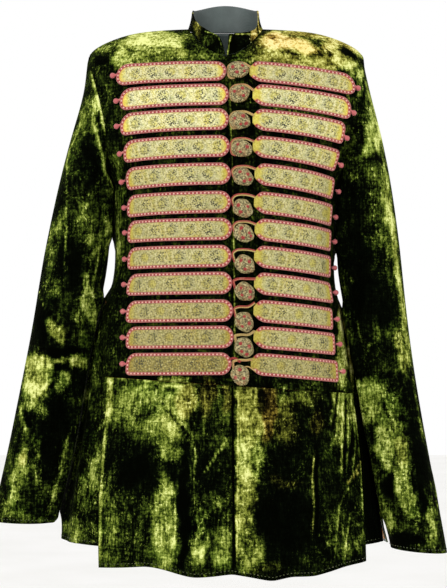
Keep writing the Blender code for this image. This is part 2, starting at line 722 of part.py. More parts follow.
def armhole_loop(side):
    """Points of the armhole edge, from the pit up the front to the tip and down the back, and the
    body's normals there."""
    sign = -1.0 if side == "right" else 1.0
    loop = []
    normals = []
    for k in range(SLEEVE_SIDES):
        turn = 2.0 * math.pi * k / SLEEVE_SIDES
        place = PIT_RING + (TIP_RING - PIT_RING) * (1.0 - math.cos(turn)) / 2.0
        opening = armhole_angle(place)
        if turn > math.pi:
            opening = -opening
        point = plain_point(place, sign * (math.pi / 2.0 - opening))
        # the gap opens upward at the pit and downward at the shoulder tip
        loop.append(point + Vector((sign * SEAM_GAP, 0.0, SEAM_GAP * math.cos(turn))))
        normals.append(plain_normal(place, sign * (math.pi / 2.0 - opening)))
    return loop, normals


def sleeve_offset(side, turn, along):
    """How far the sleeve's folds move the cloth out."""
    total = 0.0
    degrees = math.degrees(turn)
    if degrees > 180.0:
        degrees -= 360.0
    for row in SLEEVE_FOLDS:
        fold = dict(zip(SLEEVE_FOLD_COLUMNS, row))
        if fold["side"] == side:
            round_it = bell((degrees - fold["angle"]) / fold["half_angle"])
            total += fold["depth"] * round_it * bell((along - fold["place"]) / fold["half_length"])
    return total


def sleeve_ring(side, along, loop):
    """Ring of a sleeve at a place from 0 at the armhole to 1 at the cuff."""
    sign = -1.0 if side == "right" else 1.0
    rows = SLEEVES[side]
    ring = dict(zip(SLEEVE_COLUMNS, blend_rows(rows, along * (len(rows) - 1))))
    inner = Vector((sign * ring["inner_x"], -ring["forward"], ring["inner_z"]))
    outer = Vector((sign * ring["outer_x"], -ring["forward"], ring["outer_z"]))
    centre = (inner + outer) / 2.0
    reach = (outer - inner) / 2.0
    settle = ease(along / ROUND_FROM)
    pit, tip = loop[0], loop[SLEEVE_SIDES // 2]
    points = []
    for k, start in enumerate(loop):
        turn = 2.0 * math.pi * k / SLEEVE_SIDES
        round_point = centre - reach * math.cos(turn)
        round_point.y -= ring["half_depth"] * math.sin(turn)
        # the armhole's own outline, carried along with the ring
        share = (start - pit).dot(tip - pit) / (tip - pit).length_squared
        carried = inner + (outer - inner) * share + start - pit.lerp(tip, share)
        point = carried.lerp(round_point, settle)
        out = point - centre
        out.z = 0.0
        point += out.normalized() * sleeve_offset(side, turn, along)
        points.append(point)
    return points


def make_sleeve(side, material, collection):
    loop, body_normals = armhole_loop(side)
    grid = [loop]
    count = SLEEVE_RINGS
    for r in range(count):
        along = (r / (count - 1)) ** RING_CROWDING
        grid.append(sleeve_ring(side, along, loop))
    # rows run down the sleeve: they are turned over where that would face them inward
    if side == "left":
        grid = [row[::-1] for row in grid]
        body_normals = body_normals[::-1]
    normals = grid_normals(grid, closed=True)
    # at the armhole the wall lies as the body's does, but for the pit, where it turns back on it
    pit, tip = loop[0], loop[SLEEVE_SIDES // 2]
    for k, normal in enumerate(body_normals):
        height = (grid[0][k].z - pit.z) / (tip.z - pit.z)
        normals[0][k] = normals[0][k].lerp(normal, ease(height / PIT_TURN)).normalized()
    inner = moved_in(grid, normals, CLOTH)
    return wall("sleeve_" + side, grid, inner, material, collection, closed=True)


def rim_height(angle):
    """Height of the collar's rim round the neck."""
    cosine = math.cos(angle)
    if cosine > 0.0:
        drop = COLLAR_RIM_FRONT_HEIGHT - COLLAR_RIM_SIDE_HEIGHT
        side = "right" if angle < 0.0 else "left"
        return COLLAR_RIM_SIDE_HEIGHT + drop * cosine ** COLLAR_RISE[side]
    climb = COLLAR_RIM_BACK_HEIGHT - COLLAR_RIM_SIDE_HEIGHT
    return COLLAR_RIM_SIDE_HEIGHT + climb * cosine ** 2


def collar_point(angle, up):
    """Point of the standing collar, up from 0 at the neck seam to 1 at the rim."""
    base = plain_point(float(NECK_RING), angle)
    base.z += SEAM_GAP
    depth = COLLAR_RIM_FRONT if math.cos(angle) > 0.0 else COLLAR_RIM_BACK
    rim = Vector((COLLAR_RIM_HALF_WIDTH * math.sin(angle) * fullness(angle),
                  -depth * math.cos(angle), rim_height(angle)))
    point = base.lerp(rim, up)
    # the neck curves in above the seam before it stands up
    hollow = COLLAR_HOLLOW * math.sin(math.pi * up)
    point.x -= hollow * math.sin(angle)
    point.y += hollow * math.cos(angle)
    return point


def make_collar(material, collection):
    grid = []
    for up in spread(0.0, 1.0, COLLAR_ROWS):
        left_low, left_high = COLLAR_END["left"]
        right_low, right_high = COLLAR_END["right"]
        start = math.radians(left_low + (left_high - left_low) * up)
        end = 2.0 * math.pi - math.radians(right_low + (right_high - right_low) * up ** COLLAR_FLARE)
        row = []
        for c in range(COLLAR_COLUMNS):
            across = c / (COLLAR_COLUMNS - 1)
            angle = start + (end - start) * across
            turned = angle - 2.0 * math.pi if angle > math.pi else angle
            point = collar_point(turned, up)
            corner_left = COLLAR_CORNER["left"] * (1.0 - ease(across / COLLAR_CORNER_SPAN))
            corner_right = COLLAR_CORNER["right"] * (1.0 - ease((1.0 - across) / COLLAR_CORNER_SPAN))
            point.z -= (corner_left + corner_right) * up ** 2
            row.append(point)
        grid.append(row)
    inner = moved_in(grid, grid_normals(grid, closed=False), COLLAR_CLOTH)
    return wall("collar", grid, inner, material, collection)


def walk_bar(side, row):
    """Stations along a bar's middle line, in even steps from its inner end outward: distance,
    point, normal and lift. Also the bar's length along the cloth."""
    sign = -1.0 if side == "right" else 1.0
    x = row[side + "_start"]
    end = sign * row[side + "_end"]
    slope = RIGHT_SLOPE if side == "right" else row["left_slope"]
    spare = BOBBLE_STEM + 2.0 * BOBBLE_RADIUS + WALK_STEP
    length = None
    walked = 0.0
    track = []
    while length is None or walked < length + spare:
        share = abs((x - row[side + "_start"]) / (end - row[side + "_start"]))
        drop = slope * share ** BAR_DROOP
        height = row["height"] - drop
        point, normal = front_frame(x, height)
        # how far the cloth above and below the middle line stands out over it
        lift = max((front_frame(x, height + side_step)[0] - point).dot(normal)
                   for side_step in (-BAR_HEIGHT / 2.0, BAR_HEIGHT / 2.0))
        track.append((walked, point, normal, max(lift, 0.0)))
        run = Vector((-normal.y, normal.x, 0.0)).normalized()
        forward = WALK_STEP * abs(run.x)
        if length is None and sign * (x + sign * forward) >= sign * end:
            length = walked + WALK_STEP * abs(end - x) / forward
        x += sign * forward
        walked += WALK_STEP
    return track, length


def on_track(track, along):
    """Lifted point, normal and upward direction at a distance along a walked line."""
    step = track[1][0]
    index = max(0, min(len(track) - 2, int(along // step)))
    f = (along - track[index][0]) / step
    low, high = track[index], track[index + 1]
    normal = low[2].lerp(high[2], f).normalized()
    point = low[1].lerp(high[1], f) + normal * (low[3] + (high[3] - low[3]) * f)
    across = normal.cross((high[1] - low[1]).normalized()).normalized()
    if across.z < 0.0:
        across.negate()
    return point, normal, across


def flat_section(point, normal, across, half_height, low, high):
    """Four corners of a bar's section, from its upper outer one downward."""
    return [
        point + across * half_height + normal * high,
        point - across * half_height + normal * high,
        point - across * half_height + normal * low,
        point + across * half_height + normal * low,
    ]


def round_section(point, normal, across, radius, height):
    """Six corners of a round section whose middle is raised above the cloth."""
    ring = []
    for degrees in (60.0, 0.0, -60.0, -120.0, 180.0, 120.0):
        turn = math.radians(degrees)
        ring.append(point + across * (radius * math.sin(turn)) +
                    normal * (height + radius * math.cos(turn)))
    return ring


def loft(sections):
    """Points and faces of a solid through closed sections. One of four corners may be followed by
    one of six, whose second and fifth corners lie between those of the four."""
    points = [tuple(point) for section in sections for point in section]
    faces = [tuple(reversed(range(len(sections[0]))))]
    start = 0
    for low, high in zip(sections, sections[1:]):
        upper = start + len(low)
        if len(low) == len(high):
            for k in range(len(low)):
                n = (k + 1) % len(low)
                faces.append((start + k, start + n, upper + n, upper + k))
        else:
            faces.append((start, start + 1, upper + 2, upper + 1, upper))
            faces.append((start + 1, start + 2, upper + 3, upper + 2))
            faces.append((start + 2, start + 3, upper + 5, upper + 4, upper + 3))
            faces.append((start + 3, start, upper, upper + 5))
        start = upper
    faces.append(tuple(range(start, start + len(sections[-1]))))
    return points, faces


def make_bar(side, number, material, collection):
    """Brocade bar with its bobble, lofted along the cloth from its inner end."""
    row = dict(zip(BAR_COLUMNS, BARS[number]))
    track, length = walk_bar(side, row)
    low = BAR_CLEARANCE
    high = BAR_CLEARANCE + BAR_THICKNESS
    places = list(INNER_END)
    body = spread(INNER_END[-1][0], length - OUTER_END[0][0], BODY_SECTIONS + 2)[1:-1]
    places += [(along, 1.0) for along in body]
    places += [(length - back, share) for back, share in OUTER_END]
    sections = [flat_section(*on_track(track, along), BAR_HEIGHT / 2.0 * share, low, high)
                for along, share in places]
    sections.append(round_section(*on_track(track, length), STEM_RADIUS, low + STEM_RADIUS))
    centre = BAR_CLEARANCE + BOBBLE_RADIUS
    for share, size in BOBBLE_SECTIONS:
        along = length + BOBBLE_STEM + 2.0 * BOBBLE_RADIUS * share
        sections.append(round_section(*on_track(track, along), BOBBLE_RADIUS * size, centre))
    points, faces = loft(sections)
    if side == "right":
        faces = [face[::-1] for face in faces]
    mesh = bpy.data.meshes.new("bar")
    mesh.from_pydata(points, [], faces)
    mesh.update()
    name = "bar_{}_{:02d}".format(side, number + 1)
    return new_object(name, mesh, material, collection)


def make_knot(number, material, collection):
    """Knot button: a flattened egg lying on the left front."""
    row = dict(zip(BAR_COLUMNS, BARS[number]))
    point, normal = front_frame(row["knot_x"], row["height"] - row["knot_drop"])
    centre = point + normal * (KNOT_SIZE.y + KNOT_CLEARANCE)
    bpy.ops.mesh.primitive_uv_sphere_add(segments=8, ring_count=6, radius=1.0)
    thing = bpy.context.object
    thing.name = "knot_{:02d}".format(number + 1)
    thing.data.name = thing.name
    turn = math.radians(row["knot_turn"])
    for vertex in thing.data.vertices:
        across = -vertex.co.z
        upward = vertex.co.x
        egg = 1.0 - KNOT_NARROWING * across
        local = Vector((KNOT_SIZE.x * across, KNOT_SIZE.y * vertex.co.y,
                        KNOT_SIZE.z * egg * upward))
        vertex.co = Vector((local.x * math.cos(turn) - local.z * math.sin(turn), local.y,
                            local.x * math.sin(turn) + local.z * math.cos(turn)))
    thing.data.materials.append(material)
    thing.data.shade_smooth()
    thing.rotation_mode = "QUATERNION"
    thing.rotation_quaternion = Vector((0.0, -1.0, 0.0)).rotation_difference(normal)
    thing.location = centre
    for holder in list(thing.users_collection):
        holder.objects.unlink(thing)
    collection.objects.link(thing)
    return thing


def make_loop(number, material, collection):
    """Corded loop from the right bar's end over the knot to the left bar's end."""
    row = dict(zip(BAR_COLUMNS, BARS[number]))
    foot = row["height"] - LOOP_FOOT_DROP
    rise = row["arch"] - row["knot_drop"] + LOOP_FOOT_DROP
    start_x = row["right_start"] + CORD_RADIUS + LOOP_SPARE
    end_x = row["left_start"] - CORD_RADIUS - LOOP_SPARE
    middle = (start_x + end_x) / 2.0
    reach = (end_x - start_x) / 2.0
    route = [(middle + reach * math.cos(turn), foot + rise * math.sin(turn))
             for turn in spread(LOOP_FROM, LOOP_TO, LOOP_POINTS)]
    curve = bpy.data.curves.new("loop", "CURVE")
    curve.dimensions = "3D"
    curve.bevel_depth = CORD_RADIUS
    curve.bevel_resolution = 1
    curve.use_fill_caps = True
    spline = curve.splines.new("POLY")
    spline.points.add(len(route) - 1)
    for i, (x, z) in enumerate(route):
        point, normal = front_frame(x, z)
        place = point + normal * (CORD_RADIUS + KNOT_CLEARANCE)
        spline.points[i].co = (place.x, place.y, place.z, 1.0)
    curve.materials.append(material)
    thing = bpy.data.objects.new("loop_{:02d}".format(number + 1), curve)
    collection.objects.link(thing)
    return thing


def build():
    for thing in list(bpy.data.objects):
        bpy.data.objects.remove(thing, do_unlink=True)
    collection = bpy.data.collections.new("long_coat")
    bpy.context.scene.collection.children.link(collection)
    materials = {name: make_material(name) for name in MATERIALS}
    for side in ("right", "left"):
        make_front(side, materials["velvet"], collection)
        make_front_skirt(side, materials["velvet"], collection)
        make_gore(side, materials["velvet_dark"], collection)
        make_sleeve(side, materials["velvet"], collection)
    make_back(materials["velvet_dark"], collection)
    make_skirt_lining(materials["lining"], collection)
    make_collar(materials["velvet"], collection)
    for number in range(len(BARS)):
        make_bar("right", number, materials["brocade"], collection)
        make_bar("left", number, materials["brocade"], collection)
        make_loop(number, materials["cord"], collection)
        make_knot(number, materials["knot"], collection)


build()
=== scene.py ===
"""Looks of a long velvet coat with brocade bars, corded loops and knot buttons.

Metres, in the model's own frame: +Z up, the front faces -Y. "Right" and "left" are the wearer's.
"""
import functools
import math

import bmesh
import bpy
import numpy as np
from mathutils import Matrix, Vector
from mathutils.bvhtree import BVHTree


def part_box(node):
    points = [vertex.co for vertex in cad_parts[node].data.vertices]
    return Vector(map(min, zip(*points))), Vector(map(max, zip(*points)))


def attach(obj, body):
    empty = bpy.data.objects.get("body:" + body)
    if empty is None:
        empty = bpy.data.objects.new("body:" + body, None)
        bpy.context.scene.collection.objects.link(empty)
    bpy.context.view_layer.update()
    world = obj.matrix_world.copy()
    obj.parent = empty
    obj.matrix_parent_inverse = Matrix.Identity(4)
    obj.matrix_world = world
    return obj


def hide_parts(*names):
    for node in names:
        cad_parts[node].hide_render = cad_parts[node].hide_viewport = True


MM = 0.001
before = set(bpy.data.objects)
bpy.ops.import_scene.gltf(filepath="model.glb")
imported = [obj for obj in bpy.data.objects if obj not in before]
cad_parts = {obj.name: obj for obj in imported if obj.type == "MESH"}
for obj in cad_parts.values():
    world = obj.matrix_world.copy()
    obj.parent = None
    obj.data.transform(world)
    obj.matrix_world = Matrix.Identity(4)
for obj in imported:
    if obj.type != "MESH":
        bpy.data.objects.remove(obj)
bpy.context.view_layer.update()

# Photograph: real size of a pixel at the arms, picture size, and the camera's place
PIXEL = 1.7 * MM
PICTURE = (447, 588)
CAMERA_DISTANCE = 2.4
CAMERA_HEIGHT = -0.566
MIDDLE_COLUMN = 225.5
HORIZON_ROW = 364.0
SENSOR = 36.0

# The floor that the wearer would stand on
FLOOR_HEIGHT = -1.43
# Lights: name, place, what they face, size and power
LIGHTS = (("key", (-1.5, -2.3, 1.1), (0.0, 0.0, -0.45), (1.4, 1.4), 24.0),
          ("fill", (2.0, -1.8, 0.2), (0.0, 0.0, -0.5), (1.4, 1.8), 7.0))

# Panels of the coat: node, subdivision levels, how light its pile is painted where nothing marks
# it, painted sheen and shade included
PANELS = (
    ("front_right", 2, 0.22), ("front_left", 2, 0.20),
    ("front_skirt_right", 3, 0.27), ("front_skirt_left", 3, 0.17),
    ("gore_right", 3, 0.24), ("gore_left", 3, 0.14),
    ("back", 2, 0.28), ("sleeve_right", 3, 0.23), ("sleeve_left", 3, 0.27), ("collar", 3, 0.12),
)

# The tube of the body, and the height of the slices in which a tube's middle is found
BODY_NODES = ("front_right", "front_left", "front_skirt_right", "front_skirt_left", "gore_right",
              "gore_left", "back")
SLICE = 20.0 * MM
# Walls are sharp where their faces turn by more degrees than this, and lined where they face
# inwards by more than this
SHARP_TURN = 55.0
LINED_FACING = -0.55

# How light the painted pile gets before it is held back, and what share of any more lightness it
# still takes
LIGHTNESS_KNEE = 0.58
LIGHTNESS_PAST_KNEE = 0.55

# Bars: height of the inner ends' middle, where the inner ends lie, how far out the outer ends lie,
# how much lower the left bar's outer end lies, and how worn each bar's brocade is
BAR_COLUMNS = ("height", "right_start", "left_start", "right_end", "left_end", "left_slope",
               "right_wear", "left_wear")
BARS = (
    (-0.0865, 0.0020, 0.0385, 0.1800, 0.2150, 0.016, 0.20, 0.32),
    (-0.1262, 0.0060, 0.0435, 0.1740, 0.2070, 0.015, 0.00, 0.12),
    (-0.1675, 0.0060, 0.0435, 0.1730, 0.1960, 0.014, 0.05, 0.18),
    (-0.2120, 0.0075, 0.0435, 0.1680, 0.1850, 0.014, 0.30, 0.30),
    (-0.2575, 0.0090, 0.0465, 0.1640, 0.1790, 0.014, 0.42, 0.38),
    (-0.3040, 0.0090, 0.0455, 0.1620, 0.1765, 0.013, 0.55, 0.46),
    (-0.3480, 0.0110, 0.0465, 0.1610, 0.1750, 0.013, 0.52, 0.42),
    (-0.3920, 0.0100, 0.0455, 0.1610, 0.1745, 0.013, 0.52, 0.48),
    (-0.4355, 0.0110, 0.0455, 0.1610, 0.1755, 0.013, 0.62, 0.46),
    (-0.4800, 0.0125, 0.0445, 0.1620, 0.1765, 0.012, 0.70, 0.54),
    (-0.5225, 0.0135, 0.0445, 0.1620, 0.1800, 0.011, 0.76, 0.56),
    (-0.5655, 0.0100, 0.0400, 0.1620, 0.1850, 0.013, 1.00, 0.75),
)
BAR_HEIGHT = 36.0 * MM
BAR_THICKNESS = 2.0 * MM
RIGHT_SLOPE = 1.0 * MM
BAR_DROOP = 1.2
# A bar's face is found in this many steps along it, from points this far over and under its
# middle, and up to this far from its outer end
FACE_STEPS = 40
FACE_REACH = 8.0 * MM
FACE_MARGIN = 3.0 * MM
# The mesh of a bar's cloth: columns and rows, how far inside the bar's ends and edges it stops, how
# far its middle is crowned, and how deep its edge lies
FIELD_COLUMNS, FIELD_ROWS = 64, 11
FIELD_ENDS = 0.4 * MM
FIELD_INSET = 0.3 * MM
FIELD_CROWN = 0.5 * MM
FIELD_EDGE = 0.35 * MM
BOBBLE_RADIUS = 4.6 * MM
# How far the bobbles are drawn in against the bars, by row
BOBBLE_TUCK = {"right": (4.0 * MM,), "left": (5.5 * MM, 5.5 * MM, 6.0 * MM, 3.0 * MM, 0.0)}
# Outer corners in millimetres: how far the upper one is cut back and down, and the lower one back
# and up. The upper ones are cut past the bar's middle
RIGHT_CORNERS = ((20.0, 20.0, 14.0, 13.0), (21.0, 21.0, 12.0, 11.0), (22.0, 22.0, 10.0, 9.0),
                 (21.0, 22.0, 9.0, 8.0), (18.0, 21.0, 8.0, 7.0), (17.0, 20.0, 8.0, 7.0))
LEFT_CORNERS = ((24.0, 23.0, 16.0, 12.0), (19.0, 20.0, 10.0, 8.0), (12.0, 14.0, 6.0, 6.0),
                (9.0, 10.0, 5.0, 5.0), (7.0, 7.0, 5.0, 5.0), (6.0, 6.0, 5.0, 5.0))
# How much lower the cloth of the upper bars hangs at the outer end, by row
END_DROOP = (3.0 * MM, 5.0 * MM, 5.0 * MM, 5.0 * MM, 4.0 * MM, 2.0 * MM, 0.0)
# Inner ends: how blunt, and the run over which the upper and lower edges reach full height
INNER_ENDS = {"right": (0.0, 17.0 * MM, 17.0 * MM), "left": (0.30, 15.0 * MM, 21.0 * MM)}
# The left bars' border stops short of the inner end, which is bare satin
OPEN_BORDER = 8.0 * MM
# Cords of a bar's border, the edge's and the fine inner one: how far in they lie, radius, sides,
# step and colour
BORDER_CORDS = ((0.7 * MM, 0.85 * MM, 6, 3.2 * MM, 0.25), (4.7 * MM, 0.4 * MM, 4, 4.5 * MM, 0.30))
CORD_LIFT = 0.1 * MM
# Stitches between them: how far in, spacing, size and lift
STITCH_LINE = 2.9 * MM
STITCH_SPACING = 3.2 * MM
STITCH_SIZE = (4.1 * MM, 3.1 * MM, 1.3 * MM)
STITCH_LIFT = 0.05 * MM
# The border's ground reaches this far in, and each bar's rosettes start this much further on
BORDER_WIDTH = 4.9 * MM
REPEAT_SHIFT = 13.7 * MM

# Knots: place across, drop below the bars' middle and tilt in degrees
KNOT_COLUMNS = ("x", "drop", "turn")
KNOTS = (
    (0.0210, 0.0020, -10.0), (0.0232, 0.0000, 20.0), (0.0235, 0.0049, -15.0),
    (0.0270, 0.0067, -20.0), (0.0288, 0.0080, -30.0), (0.0283, 0.0128, -35.0),
    (0.0296, 0.0091, -30.0), (0.0312, 0.0155, -35.0), (0.0312, 0.0159, -35.0),
    (0.0304, 0.0198, -60.0), (0.0304, 0.0179, -50.0), (0.0243, 0.0201, -65.0),
)
KNOT_SIZE = (17.2 * MM, 8.0 * MM, 14.6 * MM)
KNOT_NARROWING = 0.14
# Red tufts on a knot: place across and up, as shares of its half size
TUFTS = ((-0.50, 0.10), (0.30, 0.36), (0.12, -0.52), (0.66, -0.12))
TUFT_RADIUS = 3.7 * MM
TUFT_THREAD = 0.9 * MM
# Rings and sides of a knot's mesh
KNOT_RINGS, KNOT_SIDES = 16, 32
# Loops: where the cord comes out from under the knot, in degrees round it, how far it rises over
# the bars' middle, how high its end lies, and the colours of its outer and inner cord, from 0 for
# red to 1 for pale
LOOP_COLUMNS = ("tail", "apex", "end", "outer", "inner")
LOOPS = (
    (238.0, 0.0145, 0.0060, 0.85, 1.0), (238.0, 0.0160, 0.0060, 0.75, 1.0),
    (238.0, 0.0125, 0.0060, 0.90, 1.0), (226.0, 0.0125, 0.0070, 0.30, 1.0),
    (205.0, 0.0120, 0.0070, 0.25, 0.95), (205.0, 0.0122, 0.0080, 0.05, 1.0),
    (205.0, 0.0120, 0.0070, 0.30, 1.0), (215.0, 0.0108, 0.0080, 0.05, 1.0),
    (215.0, 0.0070, 0.0065, 0.00, 0.40), (215.0, 0.0062, 0.0130, 0.05, 0.90),
    (215.0, 0.0036, 0.0100, 0.95, 1.0), (215.0, 0.0058, 0.0070, 1.00, 0.80),
)
# A loop's turn round its knot: where it ends and its steps, in degrees, and how near the knot's
# middle the cut end is tucked under it
LOOP_TURN_END = 196.0
LOOP_TURN_STEP = 22.0
LOOP_TUCK = 0.66
# The loop's rise over the knot: share of the way across, and share of its height
LOOP_RISE = ((0.0, 0.10), (0.06, 0.62), (0.20, 0.92), (0.42, 1.0), (0.70, 0.97))
# The lowest loop has a red twisted cord over it too, and a second strand below: the bar's end that
# they are measured from, their places in millimetres, how far their cords lie apart, and the colour
LOWEST_STRANDS = (
    ("right_start", ((-3.0, 7.5), (4.0, 9.0), (9.0, 6.5), (14.0, 2.5)), (0.9, -0.9), 0.0),
    ("left_start", ((-11.0, -6.0), (-4.0, -4.5), (2.0, -8.0), (9.0, -13.0)), (0.0,), 0.9),
)
LOOP_CORD = 1.15 * MM
LOOP_SPACING = 1.0 * MM
# How far the outer cord of a loop and the others lie off the cloth
OUTER_LIFT = 0.5 * MM
INNER_LIFT = 0.1 * MM

# Fine stitching in green silk: its height over the hems and cuffs, spacing, size and lift, the
# places looked at round the hem and a cuff, the jump at which a row ends, the heights between which
# the hem's edge lies, and how far under and over a cuff's lowest point its edge is looked for
HEM_RISE = 6.0 * MM
HEM_SPACING = 6.0 * MM
HEM_STITCH = (3.2 * MM, 1.0 * MM, 0.7 * MM)
HEM_STEPS = 260
CUFF_STEPS = 60
HEM_JUMP = 12.0 * MM
HEM_LIFT = 0.25 * MM
HEM_RANGE = (-1.0, -0.75)
CUFF_RANGE = (-10.0 * MM, 60.0 * MM)
# Where the sleeves hang against the body: height, and how fully each side's gap is closed as the
# front shows it. Each side keeps an open place at the waist
TOUCH_COLUMNS = ("height", "right", "left")
TOUCH = (
    (-0.860, 0.0, 0.0), (-0.815, 1.0, 1.0), (-0.472, 1.0, 1.0), (-0.454, 1.0, 0.0),
    (-0.434, 0.0, 0.0), (-0.396, 0.0, 0.0), (-0.374, 0.0, 1.0), (-0.350, 1.0, 1.0),
    (-0.270, 1.0, 1.0), (-0.245, 0.0, 0.0),
)
# They close on a plane that slants this much outwards to the back, each this far from it
TOUCH_SLANT = 0.15
TOUCH_CLEARANCE = 0.6 * MM
# Stitched tab on the left of the collar, in millimetres on the plane of the arms
COLLAR_TAB = ((40.0, -6.7), (41.6, -15.0), (45.1, -23.7), (51.9, -32.2), (58.7, -25.4),
              (60.4, -10.1))
